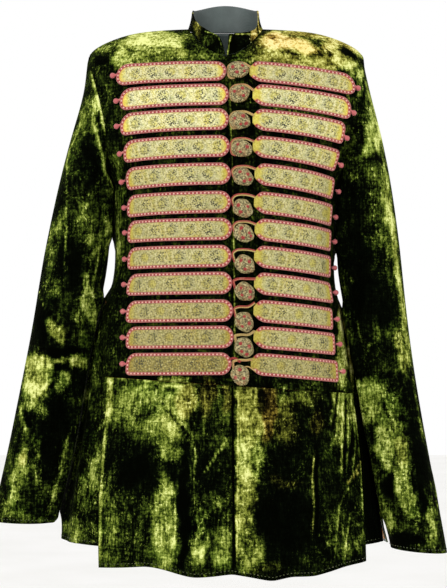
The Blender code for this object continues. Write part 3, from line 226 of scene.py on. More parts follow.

# Pressed and worn places of each piece's pile, as the front shows them, in millimetres on the plane
# of the arms: place across and up, half width, half height, tilt in degrees, how much lighter, and
# how golden. Much of the lightness is painted: sheen and highlights where lighter, shade where
# darker, and part of the gold is painted golden sheen
PATCHES = {
    "sleeve_right": (
        (-225.2, -35.6, 10.2, 10.2, 0, -0.15, 0), (-220.2, -120.6, 6.8, 15.3, -10, 0.5, 0),
        (-249, -168.2, 13.6, 54.4, -18, 0.18, 0), (-230.3, -232.8, 15.3, 44.2, -8, -0.14, 0),
        (-220.2, -171.6, 8.5, 23.8, 8, 0.16, 0), (-240.5, -239.6, 15.3, 17, 0, 0.1, 0),
        (-288.1, -346.7, 13.6, 51, -12, 0.2, 0), (-298.3, -431.7, 15.3, 20.4, 0, 0.16, 0),
        (-240.5, -295.7, 15.3, 23.8, 0, 0.1, 0), (-237.2, -329.7, 15.3, 34, 0, 0.13, 0),
        (-235.4, -453.8, 6.8, 40.8, -6, 0.46, 0), (-218.4, -355.2, 5.1, 40.8, -16, 0.26, 0),
        (-199.8, -348.4, 5.1, 27.2, -14, 0.26, 0), (-247.3, -477.6, 13.6, 22.1, 0, 0.24, 0),
        (-259.2, -397.7, 10.2, 37.4, 0, -0.14, 0), (-286.4, -509.9, 13.6, 23.8, 20, 0.44, 0.1),
        (-315.3, -499.7, 11.9, 34, -8, -0.14, 0), (-284.8, -545.6, 40.8, 6.8, -8, -0.42, 0),
        (-318.8, -583, 22.1, 42.5, -10, 0.6, 0.1), (-281.3, -564.3, 20.4, 7.6, -4, 0.5, 0.1),
        (-254.2, -566, 10.2, 8.5, 10, 0.52, 0.1), (-274.6, -594.9, 10.2, 18.7, -12, 0.42, 0),
        (-254.2, -603.4, 10.2, 22.1, -8, -0.12, 0), (-332.3, -620.4, 15.3, 25.5, -14, 0.52, 0),
        (-318.8, -647.6, 13.6, 11.9, 20, 0.3, 0), (-294.9, -681.6, 25.5, 64.6, -8, -0.16, 0),
        (-349.3, -749.6, 11.9, 54.4, -10, 0.3, 0), (-315.3, -710.5, 5.1, 18.7, -6, 0.26, 0),
        (-322.1, -742.8, 11.9, 25.5, -6, 0.15, 0), (-345.9, -732.6, 6.8, 8.5, 0, 0.24, 0.2),
        (-369.8, -810.8, 13.6, 20.4, 0, 0.16, 0), (-335.8, -827.8, 40.8, 6.8, -4, 0.14, 0),
        (-271.1, -797.2, 13.6, 51, -12, -0.12, 0), (-282, -440, 46, 86, -8, -0.07, 0),
    ),
    "sleeve_left": (
        (238.8, -108.7, 5.1, 34, 8, -0.3, 0), (245.7, -113.8, 6.8, 28.9, 8, 0.22, 0),
        (247.3, -156.3, 8.5, 8.5, 0, 0.46, 0), (242.2, -192, 10.2, 15.3, 0, 0.46, 0),
        (260.9, -188.6, 5.1, 30.6, 12, 0.42, 0), (249, -232.8, 13.6, 17, 0, 0.15, 0),
        (269.4, -246.4, 5.1, 23.8, 8, 0.36, 0), (277.9, -312.7, 8.5, 25.5, 8, 0.46, 0),
        (252.4, -283.8, 20.4, 13.6, 0, 0.12, 0), (262.6, -355.2, 13.6, 22.1, 0, 0.12, 0),
        (215, -355.2, 25.5, 105.4, 6, -0.16, 0), (249, -457.2, 39.1, 57.8, 6, -0.16, 0),
        (245.7, -545.6, 37.4, 30.6, 0, -0.12, 0), (215, -424.9, 5.1, 5.1, 0, 0.34, 0),
        (254.2, -508.2, 6.8, 23.8, 0, 0.18, 0), (247.3, -528.6, 8.5, 5.1, 20, 0.3, 0),
        (300.1, -542.2, 8.5, 37.4, 8, 0.34, 0.1), (247.3, -627.2, 18.7, 37.4, 6, 0.4, 0),
        (283.1, -661.2, 18.7, 37.4, 8, 0.34, 0), (271.1, -707.1, 10.2, 40.8, 6, 0.44, 0),
        (296.6, -715.6, 11.9, 23.8, 0, 0.28, 0.1), (301.8, -766.6, 15.3, 25.5, 6, 0.38, 0),
        (315.3, -807.4, 20.4, 23.8, 6, 0.32, 0), (352.8, -822.7, 6.8, 30.6, 8, 0.34, 0),
        (313.6, -623.8, 11.9, 34, 8, -0.14, 0), (328.9, -720.7, 13.6, 51, 8, -0.22, 0),
        (283.1, -776.8, 8.5, 23.8, 6, -0.26, 0), (337.4, -797.2, 6.8, 27.2, 6, -0.22, 0),
        (310.2, -866.9, 40.8, 8.5, 4, -0.22, 0), (347.6, -861.8, 10.2, 13.6, 0, 0.36, 0),
        (276.2, -831.2, 10.2, 23.8, 10, 0.2, 0), (262, -190, 30, 120, 8, 0.16, 0),
        (254, -168, 17, 34, 6, 0.2, 0), (256, -222, 18, 19, 0, -0.18, 0),
    ),
    # the top of the right shoulder is painted light, as light falls on it from above
    "front_right": (
        (-128, -40, 84, 26, 2, 0.26, 0.05), (-125, -11.8, 56.1, 17, 3, 0.86, 0.1),
        (-177.7, -44.1, 11.9, 15.3, -15, 0.66, 0), (-82.5, -30.5, 20.4, 8.5, 0, 0.44, 0.1),
        (-128.3, -39, 47.6, 6.8, 2, 0.16, 0), (-209.9, -23.7, 18.7, 13.6, 20, 0.3, 0),
        (-206.5, -52.6, 13.6, 10.2, 0, -0.3, 0), (-97.8, -16.9, 15.3, 5.1, -10, -0.26, 0),
        (-24.6, -42.4, 27.2, 8.5, 0, 0.2, 0), (-181, -295.7, 6.8, 102, 0, 0.12, 0),
        (-186.2, -385.8, 5.1, 34, -4, 0.2, 0), (-85.8, -594.9, 30.6, 5.1, -3, 0.62, 0.1),
        (-128.3, -588.1, 23.8, 3.4, -2, 0.3, 0), (-31.4, -600, 17, 6.8, 0, 0.2, 0.5),
    ),
    # the top of the left shoulder is painted light and pale gold, as light falls on it from above
    "front_left": (
        (130, -44, 88, 28, -3, 0.42, 0.3), (106.2, -22, 49.3, 13.6, -4, 0.8, 0.95),
        (72.2, -40.7, 10.2, 10.2, 0, 0.46, 0.2), (174.2, -25.4, 15.3, 10.2, -10, 0.5, 0.5),
        (201, -57, 21, 12, -42, 0.78, 0.15), (158.9, -23.7, 6.8, 6.8, 0, -0.52, 0),
        (153.8, -37.3, 11.9, 6, -10, -0.46, 0), (177.7, -40.7, 6.8, 4.2, 0, -0.5, 0),
        (80.8, -16.9, 6.8, 3.4, -10, -0.56, 0), (116.5, -44.1, 15.3, 4.2, -5, -0.34, 0),
        (95, -86, 40, 7, -9, 0.16, 0), (107, -133, 60, 7, -9, 0.2, 0),
        (205, -43, 11, 18, 40, -0.62, 0), (230, -42, 6.8, 10.2, 30, 0.6, 0),
        (222, -70, 16, 12, 0, 0.34, 0), (229, -86, 6, 24, 0, 0.5, 0),
        (215, -124, 6.8, 20.4, 20, 0.14, 0), (186.2, -56, 20.4, 3.4, -20, -0.2, 0),
        (29.8, -42.4, 15.3, 10.2, 0, 0.18, 0), (126.6, -608.5, 51, 5.1, -3, 0.16, 0),
        (198, -552.4, 10.2, 57.8, 2, 0.7, 0.1), (203.2, -494.6, 8, 40.8, 6, 0.7, 0.4),
    ),
    "front_skirt_right": (
        (-124, -640, 64, 56, 0, 0.2, 0), (-145.3, -618.7, 36, 22, 0, 0.12, 0),
        (-68, -628, 20, 30, 0, 0.3, 0.25), (-92, -662.9, 24, 32, 0, 0.18, 0.05),
        (-91, -715.6, 20.4, 13.6, 15, 0.3, 0), (-165.8, -720.7, 44.2, 61.2, 0, -0.1, 0),
        (-128.3, -753, 54.4, 27.2, 0, -0.14, 0), (-106.2, -834.6, 18.7, 81.6, 0, 0.4, 0),
        (-196.3, -805.7, 13.6, 71.4, 0, 0.2, 0), (-182.8, -873.7, 20.4, 34, 0, 0.1, 0),
        (-70.5, -805.7, 8.5, 112.2, 0, -0.3, 0), (-43.4, -826.1, 8.5, 13.6, 0, 0.44, 0),
        (-43.4, -875.4, 13.6, 34, 0, 0.34, 0), (-7.6, -875.4, 13.6, 40.8, 0, 0.28, 0),
        (-31.4, -620.4, 13.6, 34, 0, 0.12, 0.3), (0.8, -620.4, 8.5, 30.6, 0, 0.12, 0.25),
        (-21.2, -746.2, 30.6, 37.4, 0, -0.12, 0),
    ),
    "front_skirt_left": (
        (42, -640.8, 27, 60, 0, 0.42, 0.2), (42, -720.7, 26, 44, 0, 0.44, 0.05),
        (34, -797.2, 19, 54, 0, 0.42, 0.12), (38, -873.7, 26, 40, 0, 0.36, 0.05),
        (74, -651, 13.6, 44.2, 0, 0.12, 0.6), (62, -630.6, 8.5, 20.4, 0, -0.42, 0.3),
        (48.4, -746.2, 5.1, 5.1, 0, -0.36, 0), (46.8, -805.7, 6.8, 6.8, 0, -0.4, 0),
        (126.6, -622.1, 34, 15.3, 0, 0.22, 0.1), (102.8, -668, 23.8, 40.8, 0, 0.14, 0.2),
        (157.2, -661.2, 10.2, 20.4, 0, 0.12, 0.3), (99.5, -766.6, 30.6, 10.2, 0, 0.1, 0.2),
        (101.1, -831.2, 47.6, 57.8, 0, -0.14, 0), (177.7, -618.7, 5.1, 23.8, 0, -0.2, 0),
        (198, -640, 20, 70, 5, 0.36, 0.05), (191.2, -861.8, 20.4, 44.2, 4, 0.16, 0),
        (225.2, -844.8, 8.5, 51, 0, 0.14, 0), (68.8, -916.2, 30.6, 10.2, 0, 0.2, 0.1),
    ),
    "gore_right": (
        (-240.5, -623.8, 6.8, 15.3, -8, 0.6, 0), (-226.9, -593.2, 8.5, 51, 0, 0.06, 0),
        (-218.4, -746.2, 11.9, 40.8, 0, 0.3, 0), (-233.8, -773.4, 13.6, 44.2, 0, 0.22, 0),
        (-260.9, -848.2, 13.6, 20.4, 0, 0.32, 0), (-230.3, -858.4, 17, 23.8, 0, 0.16, 0),
        (-233.8, -678.2, 10.2, 27.2, 0, -0.1, 0), (-226.9, -474.2, 10.2, 37.4, -24, 0.16, 0),
    ),
    "gore_left": (
        (245.7, -746.2, 17, 136, 4, -0.2, 0), (208.2, -508.2, 6.8, 68, 4, 0.46, 0.4),
        (215, -579.6, 8.5, 40.8, 4, 0.3, 0.1),
    ),
    # painted golden sheen on the collar's outer side
    "collar": (
        (50.1, 12, 6.8, 27.2, 0, 0.62, 0.7), (62, -15.2, 6.8, 20.4, -10, 0.6, 0.6),
        (41.6, -25.4, 8.5, 13.6, 0, -0.1, 0), (-48.4, 12, 8.5, 23.8, 0, 0.22, 0.3),
        (-29.8, -18.6, 17, 10.2, 0, 0.14, 0), (-6, -39, 13.6, 6.8, 0, 0.2, 0),
        (11, -22, 6.8, 13.6, 0, -0.14, 0),
    ),
}
# Each piece's creases, ridges and seams: half width, height of the ridge, how much lighter, how
# golden, and the points that the line passes. Lighter lines are painted highlights on ridges and
# edges, and darker lines are painted shade in creases
LINES = {
    # painted highlights along the collar's edges, golden on its outer side
    "collar": (
        (1.6, 0, 0.7, 0.1, ((3, -43), (5, -28), (9, -4))),
        (1.5, 0, 0.7, 0.15, ((9, -5), (30, -5), (57, -5))),
        (1.6, 0.5, 0.6, 0.5, ((-58.6, 29), (-51.9, 32.4), (-48.4, 20.5), (-45, 6.9))),
        (1.6, 0.4, 0.46, 0, ((-38.2, 0.1), (-17.8, -5), (-11, -11.8), (-6, -27.1))),
        (1.6, 0.4, 0.5, 0.1, ((6, -27.1), (7.6, -16.9), (11, -6.7))),
        (1.6, 0.5, 0.6, 0.8, ((48.4, 35.8), (53.5, 23.9), (56.9, 1.8), (62, -8.4))),
    ),
    "front_left": (
        # painted golden highlight along the top of the left shoulder
        (8, 0, 0.6, 0.5, ((90, -3), (135, -5), (170, -10), (195, -20), (232, -38))),
        (1.5, 0.6, 0.4, 0.1, ((6, -59.4), (8.5, -134.2), (11, -219.2), (13.6, -355.2),
         (15.3, -491.2), (16.1, -589.8))),
        (1.7, -0.8, -0.5, 0, ((45, -598.3), (87.5, -611.9), (182.8, -617))),
        (1.7, 0, 0.34, 0, ((-12.8, -49.2), (17.8, -49.2), (38.2, -45.8))),
    ),
    "gore_right": (
        (2.6, 0, 0.5, 0.05, ((-221, -461), (-228, -507), (-242, -603), (-251, -675))),
        (2.6, 1.4, 0.62, 0, ((-237.2, -579.6), (-242.2, -617), (-249, -652.7), (-256.7, -710.5),
         (-262.6, -741.1))),
        (2.4, 1.2, 0.54, 0.25, ((-198, -470.8), (-198.6, -526.9), (-203.2, -586.4))),
        (2.2, 1, 0.5, 0, ((-218.4, -679.9), (-211.7, -673.1), (-204.8, -666.3))),
        (1.8, 1, 0.3, 0, ((-206.5, -450.4), (-216.8, -474.2), (-230.3, -508.2))),
        (1.8, 1, 0.36, 0, ((-230.3, -525.2), (-233.8, -559.2), (-238.8, -593.2))),
        (2, 1.2, 0.26, 0, ((-247.3, -746.2), (-250.8, -814.2), (-255.8, -873.7))),
    ),
    "sleeve_right": (
        (2.6, 0, 0.4, 0.05, ((-228, -507), (-242, -603), (-251, -675))),
        (3.6, 2, 0.6, 0, ((-228.7, -69.6), (-223.5, -90), (-216.8, -117.2), (-209.9, -147.8),
         (-201.4, -181.8))), (3.8, 2.2, 0.5, 0, ((-225.2, -134.2), (-223.5, -159.7),
         (-216.8, -185.2), (-209.9, -210.7), (-204.8, -244.7), (-199.8, -277))),
        (1.9, 1, 0.34, 0, ((-242.2, -127.4), (-247.3, -163.1), (-264.3, -202.2), (-269.4, -229.4),
         (-270.1, -287.2), (-271.1, -348.4), (-272.8, -382.4), (-273.7, -409.6))),
        (2.4, -1.4, -0.4, 0, ((-306.8, -469.1), (-294.9, -484.4), (-281.3, -501.4), (-269.4, -515),
         (-254.2, -526.9))),
        (1.7, 0.8, 0.4, 0, ((-317.1, -440.2), (-311.9, -458.9), (-305.1, -474.2))),
        (2.2, -1.5, -0.44, 0, ((-308.6, -572.8), (-288.1, -569.4), (-267.8, -572.8),
         (-243.9, -574.5))),
        (2, 1.2, 0.44, 0, ((-330.6, -623.8), (-311.9, -606.8), (-289.8, -584.7))),
        (2.6, -1.4, -0.44, 0, ((-327.2, -630.6), (-305.1, -611.9), (-281.3, -589.8))),
        (2, 1, 0.4, 0, ((-337.4, -647.6), (-318.8, -622.1), (-301.8, -598.3))),
        (3.2, 1.6, 0.56, 0, ((-349.3, -634), (-345.9, -661.2), (-335.8, -685))),
        (2.6, -1.2, -0.4, 0, ((-342.6, -640.8), (-337.4, -661.2), (-325.6, -681.6))),
        (1.6, 0.8, 0.4, 0, ((-356.1, -732.6), (-362.9, -783.6), (-368.1, -814.2))),
        (1.5, -0.6, 0.46, 0, ((-266.1, -668), (-275.1, -705.4), (-284.1, -748.8), (-294.3, -787),
         (-304.5, -831.2))),
        (1.8, 0.8, 0.3, 0, ((-215, -372.2), (-223.5, -423.2), (-228.7, -474.2), (-233.8, -518.4))),
        (1.8, 0.8, 0.26, 0, ((-204.8, -380.7), (-215, -431.7), (-221.8, -474.2))),
        (1.6, 0.6, 0.26, 0, ((-262.6, -521.8), (-250.8, -515), (-240.5, -513.3))),
    ),
    "sleeve_left": (
        (2.2, -1, -0.3, 0, ((262, -205), (272, -262), (281, -312))),
        # painted highlight along the sleeve's outer edge
        (5.4, 1.4, 0.62, 0.08, ((269.4, -249.8), (277.9, -295.7), (284.8, -348.4), (289.8, -396),
         (296.6, -443.6), (303.4, -491.2), (308.6, -538.8), (313.6, -572.8))),
        (1.7, 0.8, 0.36, 0, ((223.5, -487.8), (226.9, -508.2), (232, -528.6))),
        (2.3, 1.4, 0.48, 0, ((226.1, -601.7), (237.2, -661.2), (247.3, -728.5), (259.9, -784.8),
         (274.6, -851.6))), (2, 1.4, 0.4, 0, ((272.8, -630.6), (284.8, -659.5), (294.9, -687.9))),
        (2.2, -1.2, -0.34, 0, ((267.8, -634), (279.6, -662.9), (289.8, -690.1))),
        (2, 0.9, 0.34, 0, ((317.1, -579.6), (323.8, -627.2), (335.8, -695.2))),
        (2.6, -1.6, -0.4, 0, ((215, -583), (238.8, -588.1), (269.4, -583), (303.4, -588.1))),
        (2, 0.9, 0.3, 0, ((352.8, -746.2), (357.8, -783.6), (361.2, -822.7))),
        (1.5, 0.6, 0.22, 0, ((232, -278.7), (249, -275.3), (269.4, -270.2))),
        (1.5, 0.6, 0.22, 0, ((260.9, -350.1), (283.1, -348.4))),
    ),
    "front_right": (
        (1.7, -0.8, -0.5, 0, ((-180.2, -588.1), (-118.1, -594.9), (-62, -608.5))),
    ),
    "front_skirt_right": (
        (7, 1.6, 0.74, 0.1, ((-194.7, -586.4), (-196.3, -632.3), (-201.4, -661.2))),
        (3.2, 1.2, 0.7, 0.05, ((-201.4, -657.8), (-207.1, -713.6), (-212, -793.8),
         (-213.5, -901.8))),
        (1.9, 1.2, 0.36, 0, ((-96.7, -637.4), (-74, -662.9), (-53.5, -686.7))),
        (2.4, -1.2, -0.34, 0, ((-102.8, -642.5), (-80.8, -668), (-60.4, -691.8))),
        (2.6, 1.8, 0.48, 0, ((-94.3, -761.5), (-84.7, -793.8), (-85.8, -848.2), (-89.2, -900.9))),
        (1.9, 1.4, 0.5, 0, ((-56.9, -691.8), (-50.1, -719), (-53.5, -753.9), (-52.4, -810.8))),
        (1.9, 1.2, 0.62, 0, ((4.2, -691.8), (-17.8, -724.1), (-39.9, -754.7))),
        (2.2, 1.2, 0.5, 0, ((-0.8, -795.5), (-16.1, -805.7), (-28.1, -819.3))),
        (1.8, -0.9, -0.34, 0, ((-179.3, -596), (-118.1, -604), (-56.9, -619))),
        (2.0, 1.0, 0.5, 0.05, ((-188, -589), (-158, -594), (-131, -594), (-104, -601), (-80, -603),
         (-57, -611))), (1.6, 0.7, 0.26, 0, ((-36.5, -593.2), (-34.9, -644.2), (-38.2, -695.2))),
        (1.5, 0.7, 0.24, 0, ((4.2, -780.2), (4.2, -848.2), (2.5, -907.7))),
        (2.4, -1, -0.44, 0, ((11.9, -601.7), (13.6, -695.2), (14.4, -797.2), (14.4, -919.6))),
    ),
    "front_skirt_left": (
        (1.9, 1.4, 0.46, 0.2, ((151.5, -713.4), (147, -753.9), (150.1, -807.4), (147, -861.5))),
        (2.2, -1.4, -0.4, 0, ((157.2, -715.6), (153.8, -756.4), (157.2, -810.8), (153.8, -865.2))),
        (3, 1.6, 0.3, 0, ((189.5, -589.8), (184.4, -623.8), (177.7, -669.7))),
        (2, 1.6, 0.26, 0, ((194.7, -596), (190.5, -640), (188, -690), (176, -716))),
        (2.6, 1.6, 0.42, 0.05, ((201, -589.8), (198.4, -635.7), (197, -695.2), (196.3, -763.2))),
        (1.8, 1.6, 0.22, 0, ((204.8, -620), (208.2, -660), (207, -705), (204.8, -756.4))),
        (2, 1.6, 0.34, 0, ((209.9, -600), (216, -650), (220.2, -700), (215, -752))),
        (1.9, 1.2, 0.52, 0.5, ((204, -770), (216.8, -759.8), (228.7, -746.2))),
        (1.8, 1, 0.44, 0.3, ((209.9, -763.2), (221.8, -746.2), (230.3, -729.2))),
        (2, 1.4, 0.36, 0, ((184.4, -902.6), (189.5, -848.2), (192.9, -805.7))),
        (2, 1.4, 0.4, 0, ((201.4, -902.6), (204.8, -865.2), (211.7, -822.7))),
        (1.8, 1, 0.3, 0, ((194.7, -805.7), (201.4, -788.7), (209.9, -776.8))),
        (2.3, 1, 0.34, 0, ((215, -618.7), (222.7, -673.1), (229.5, -739.4), (233.8, -861.8))),
        (2, -1.4, -0.4, 0, ((191.2, -601.7), (187.8, -644.2), (182.8, -678.2))),
        (2, -1.4, -0.4, 0, ((204.8, -618.7), (204.8, -678.2), (201.4, -746.2))),
        (2, -1.4, -0.36, 0, ((215, -627.2), (216.8, -678.2), (211.7, -732.6))),
        (1.6, 0.6, 0.3, 0.2, ((21.2, -610.2), (21.2, -712.2), (19.6, -831.2), (19.6, -912.8))),
    ),
    "gore_left": (
        (1.8, 1, 0.4, 0.2, ((196.3, -460.6), (204.8, -508.2), (211.7, -567.7), (215, -610.2))),
        (1.8, 1, 0.3, 0.1, ((201.4, -474.2), (213.3, -533.7), (218.4, -584.7))),
    ),
}
# The same for what faces away from the front, in millimetres across and up
BACK_PATCHES = {
    "back": (
        (-95, -70, 60, 34, 12, 0.3, 0.3), (100, -66, 64, 32, -12, 0.34, 0.3),
        (-90, -160, 46, 70, 8, 0.16, 0), (86, -190, 42, 80, -6, 0.14, 0),
        (0, -250, 26, 150, 0, -0.16, 0), (-110, -330, 30, 80, 6, -0.14, 0),
        (112, -350, 30, 90, -4, -0.16, 0), (-40, -430, 40, 60, 0, 0.12, 0),
        (60, -560, 44, 70, 10, 0.2, 0.1), (-90, -640, 46, 90, -6, 0.24, 0.2),
        (20, -700, 36, 110, 4, -0.18, 0), (110, -760, 46, 80, 6, 0.22, 0.1),
        (-60, -850, 60, 46, 0, 0.2, 0), (60, -880, 56, 30, 0, 0.16, 0),
    ),
    "sleeve_right": (
        (-262, -240, 30, 90, -8, 0.16, 0), (-296, -470, 22, 50, -8, 0.34, 0.1),
        (-330, -700, 22, 90, -8, 0.14, 0),
    ),
    "sleeve_left": (
        (262, -250, 30, 90, 8, 0.18, 0), (290, -480, 22, 50, 8, 0.32, 0.1),
        (322, -720, 22, 80, 6, 0.14, 0),
    ),
}
BACK_LINES = {
    "back": (
        (3.5, 0.8, 0.22, 0, ((-150, -330), (-60, -372), (30, -380), (120, -352))),
        (3.5, -0.8, -0.14, 0, ((-140, -392), (-40, -414), (90, -404), (150, -380))),
        (4, 1.2, 0.22, 0, ((-70, -560), (-82, -700), (-96, -900))),
        (4, 1.2, 0.2, 0, ((64, -540), (80, -690), (92, -900))),
        (3, -1.0, -0.16, 0, ((0, -420), (2, -640), (-4, -900))),
        (3, 0.8, 0.2, 0, ((-130, -120), (-112, -240), (-118, -330))),
        (3, 0.8, 0.2, 0, ((128, -120), (110, -230), (118, -330))),
    ),
    "sleeve_right": (
        (3.5, 1.0, 0.26, 0, ((-240, -400), (-272, -430), (-296, -440))),
        (3.5, -0.8, -0.16, 0, ((-246, -440), (-276, -470), (-300, -474))),
        (3, 0.8, 0.22, 0, ((-262, -520), (-290, -540), (-312, -536))),
    ),
    "sleeve_left": (
        (3.5, 1.0, 0.26, 0, ((232, -404), (262, -434), (286, -446))),
        (3.5, -0.8, -0.16, 0, ((238, -446), (266, -474), (290, -480))),
        (3, 0.8, 0.22, 0, ((250, -520), (276, -544), (300, -540))),
    ),
}


def linear(value):
    return value / 12.92 if value <= 0.04045 else ((value + 0.055) / 1.055) ** 2.4


def colour(code):
    """Linear colour from an sRGB hex value such as "#4a6b1a"."""
    return [linear(int(code[i:i + 2], 16) / 255.0) for i in (1, 3, 5)] + [1.0]


# Settings that all nodes of a kind share here
SHARED_SETTINGS = {"MapRange": {"interpolation_type": "SMOOTHSTEP"}, "Mix": {"data_type": "RGBA"}}


def add_node(tree, kind, *values, out=0, stops=(), **named):
    """Add a node and give one of its outputs. A kind in capitals is a step of arithmetic. values
    go to the inputs in use, in order: numbers, hex colours or sockets to link. Capitalised names
    are inputs too, and the others are settings. stops are the places and colours of a ramp."""
    named = {**SHARED_SETTINGS.get(kind, {}), **named}
    if kind.isupper():
        kind, named["operation"] = "ShaderNodeMath", kind
    elif "Node" not in kind:
        kind = tree.bl_idname.replace("Tree", "") + kind
    node = tree.nodes.new(kind)
    for name, value in named.items():
        if name.islower():
            setattr(node, name, value)
    given = list(zip((socket for socket in node.inputs if socket.enabled), values))
    given += [(node.inputs[name.replace("_", " ")], value) for name, value in named.items()
              if not name.islower()]
    for socket, value in given:
        if isinstance(value, bpy.types.NodeSocket):
            tree.links.new(value, socket)
        else:
            socket.default_value = colour(value) if str(value).startswith("#") else value
    for i, (place, code) in enumerate(stops):
        band = node.color_ramp.elements
        element = band[i] if i < len(band) else band.new(place)
        element.position, element.color = place, colour(code)
    outputs = [socket for socket in node.outputs if socket.enabled]
    return node.outputs[out] if isinstance(out, str) else outputs[out] if outputs else node


def new_finish(name):
    """New material, and what adds a node to it."""
    material = bpy.data.materials.new(name)
    material.use_nodes = True
    return material, functools.partial(add_node, material.node_tree)


def cover(material, shade, bump, numbers):
    """Give a material its colour, its bumps by strength, depth and height, and its numbers."""
    tree = material.node_tree
    shader = tree.nodes["Principled BSDF"]
    tree.links.new(shade, shader.inputs["Base Color"])
    if bump:
        strength, depth, height = bump
        raised = add_node(tree, "Bump", strength, depth, Height=height)
        tree.links.new(raised, shader.inputs["Normal"])
    for name, value in numbers.items():
        shader.inputs[name].default_value = value
    return material


# Velvet's colour from standing pile to pressed flat: the nearly black end is partly painted shade,
# and the pale end is painted sheen on pressed pile
GREEN_PILE = ((0.0, "#010200"), (0.20, "#040702"), (0.28, "#0f1605"), (0.35, "#202b0a"),
              (0.45, "#384713"), (0.55, "#56651f"), (0.65, "#788633"), (0.76, "#9ca84f"),
              (0.88, "#c2cc6c"), (1.0, "#e6ed98"))
# Where the pile is worn down to its gold silk ground, and where its sheen is painted golden
WORN_AND_SHEEN_PILE = ((0.0, "#020100"), (0.20, "#0c0702"), (0.32, "#33240a"), (0.45, "#63491a"),
             (0.60, "#96762f"), (0.75, "#c6a553"), (0.88, "#e8cd78"), (1.0, "#f8e69f"))


def make_velvet(name):
    """Crushed silk velvet: a short dense pile on a silk ground. Pressed pile shines pale and
    standing pile is nearly black, so one dye shows in patches with ragged rims. This shine and
    shade are painted into the colour, as painted sheen and painted shade over the pile's own crush."""
    material, add = new_finish(name)
    place = add("TexCoord", out="Object")
    pile_and_painted_light = add("Attribute", attribute_name="pile_and_painted_light", out="Fac")
    gold = add("Attribute", attribute_name="gold", out="Fac")
    # standing pile hides the silk, so it changes less from place to place than pressed pile
    life = add("MapRange", pile_and_painted_light, 0.0, 0.42, 0.40, 1.0)
    # hand-sized changes of the pile, about 70 mm across and taller than wide
    broad = add("TexNoise", add("Mapping", place, Scale=(1.0, 1.0, 0.65)), 15.0, 2.0, 0.5,
                Distortion=0.3)
    # ragged patches, 5 to 25 mm
    ragged = add("TexNoise", add("Mapping", place, Scale=(1.0, 1.0, 0.75)), 52.0, 8.0, 0.66,
                 Distortion=0.35)
    # tufts crushed to and fro, 3 to 6 mm
    tufts = add("TexNoise", place, 230.0, 4.0, 0.75)
    # warp streaks 2 to 3 mm wide, and fainter ones along the weft
    warp = add("TexNoise", add("Mapping", place, Scale=(1.0, 1.0, 0.11)), 300.0, 2.0, 0.6)
    weft = add("TexNoise", add("Mapping", place, Scale=(0.14, 0.14, 1.0)), 280.0, 2.0, 0.6)
    # painted highlights along fine folds of the pile
    web = add("TexNoise", add("Mapping", place, Scale=(1.0, 1.0, 0.45)), 26.0, 4.0, 0.6,
              Distortion=0.7)
    ridge = add("ABSOLUTE", add("SUBTRACT", web, 0.5))
    fold_highlight = add("MULTIPLY", add("MapRange", ridge, 0.0, 0.014, 1.0, 0.0),
                add("MapRange", tufts, 0.44, 0.62))
    # each noise with its middle stretched, by its spread and strength
    change = 0.0
    for noise, spread, strength in ((broad, 0.20, 0.16), (ragged, 0.20, 0.40), (tufts, 0.26, 0.46),
                                    (warp, 0.26, 0.30), (weft, 0.28, 0.18)):
        sharp = add("MapRange", noise, 0.5 - spread, 0.5 + spread, -0.5, 0.5)
        change = add("MULTIPLY_ADD", sharp, strength, change)
    change = add("MULTIPLY_ADD", fold_highlight, 0.32, change)
    # each place's painted sheen and shade, with its pile's own crush, set the lightness that the
    # noise shifts
    total = add("MULTIPLY_ADD", change, life, pile_and_painted_light)
    total = add("MAXIMUM", add("MINIMUM", total, 1.0), 0.0)
    shade = add("Mix", gold, add("ValToRGB", total, stops=GREEN_PILE),
                add("ValToRGB", total, stops=WORN_AND_SHEEN_PILE))
    # a cooler green where the pile stands thick
    cool = add("MapRange", add("TexNoise", place, 19.0, 3.0), 0.54, 0.66, 0.0, 0.30)
    shade = add("Mix", cool, shade, "#28703c", blend_type="SOFT_LIGHT")
    height = add("MULTIPLY_ADD", ragged, 3.0, add("ADD", tufts, warp))
    return cover(material, shade, (0.7, 1.5 * MM, height), {
        "Roughness": 0.85, "Sheen Weight": 0.12, "Sheen Roughness": 0.35,
        "Sheen Tint": colour("#39420f"), "Specular IOR Level": 0.01})


def make_sateen(name, pale, dark, spacing):
    """Cotton sateen lining: long floats of thread give a soft gloss across fine slanting lines."""
    material, add = new_finish(name)
    place = add("TexCoord", out="Object")
    # threads are 0.3 mm apart, drawn wider so that they show
    threads = add("TexWave", place, 1.0 / (6.28 * spacing), 1.2, 2.0, 2.0,
                  bands_direction="DIAGONAL", out="Fac")
    stains = add("TexNoise", place, 24.0, 5.0, 0.6)
    tone = add("MULTIPLY_ADD", threads, 0.25, add("MULTIPLY", stains, 0.9))
    shade = add("ValToRGB", tone, stops=((0.2, dark), (0.8, pale)))
    return cover(material, shade, (0.35, 0.4 * MM, threads),
                 {"Roughness": 0.55, "Sheen Weight": 0.15})


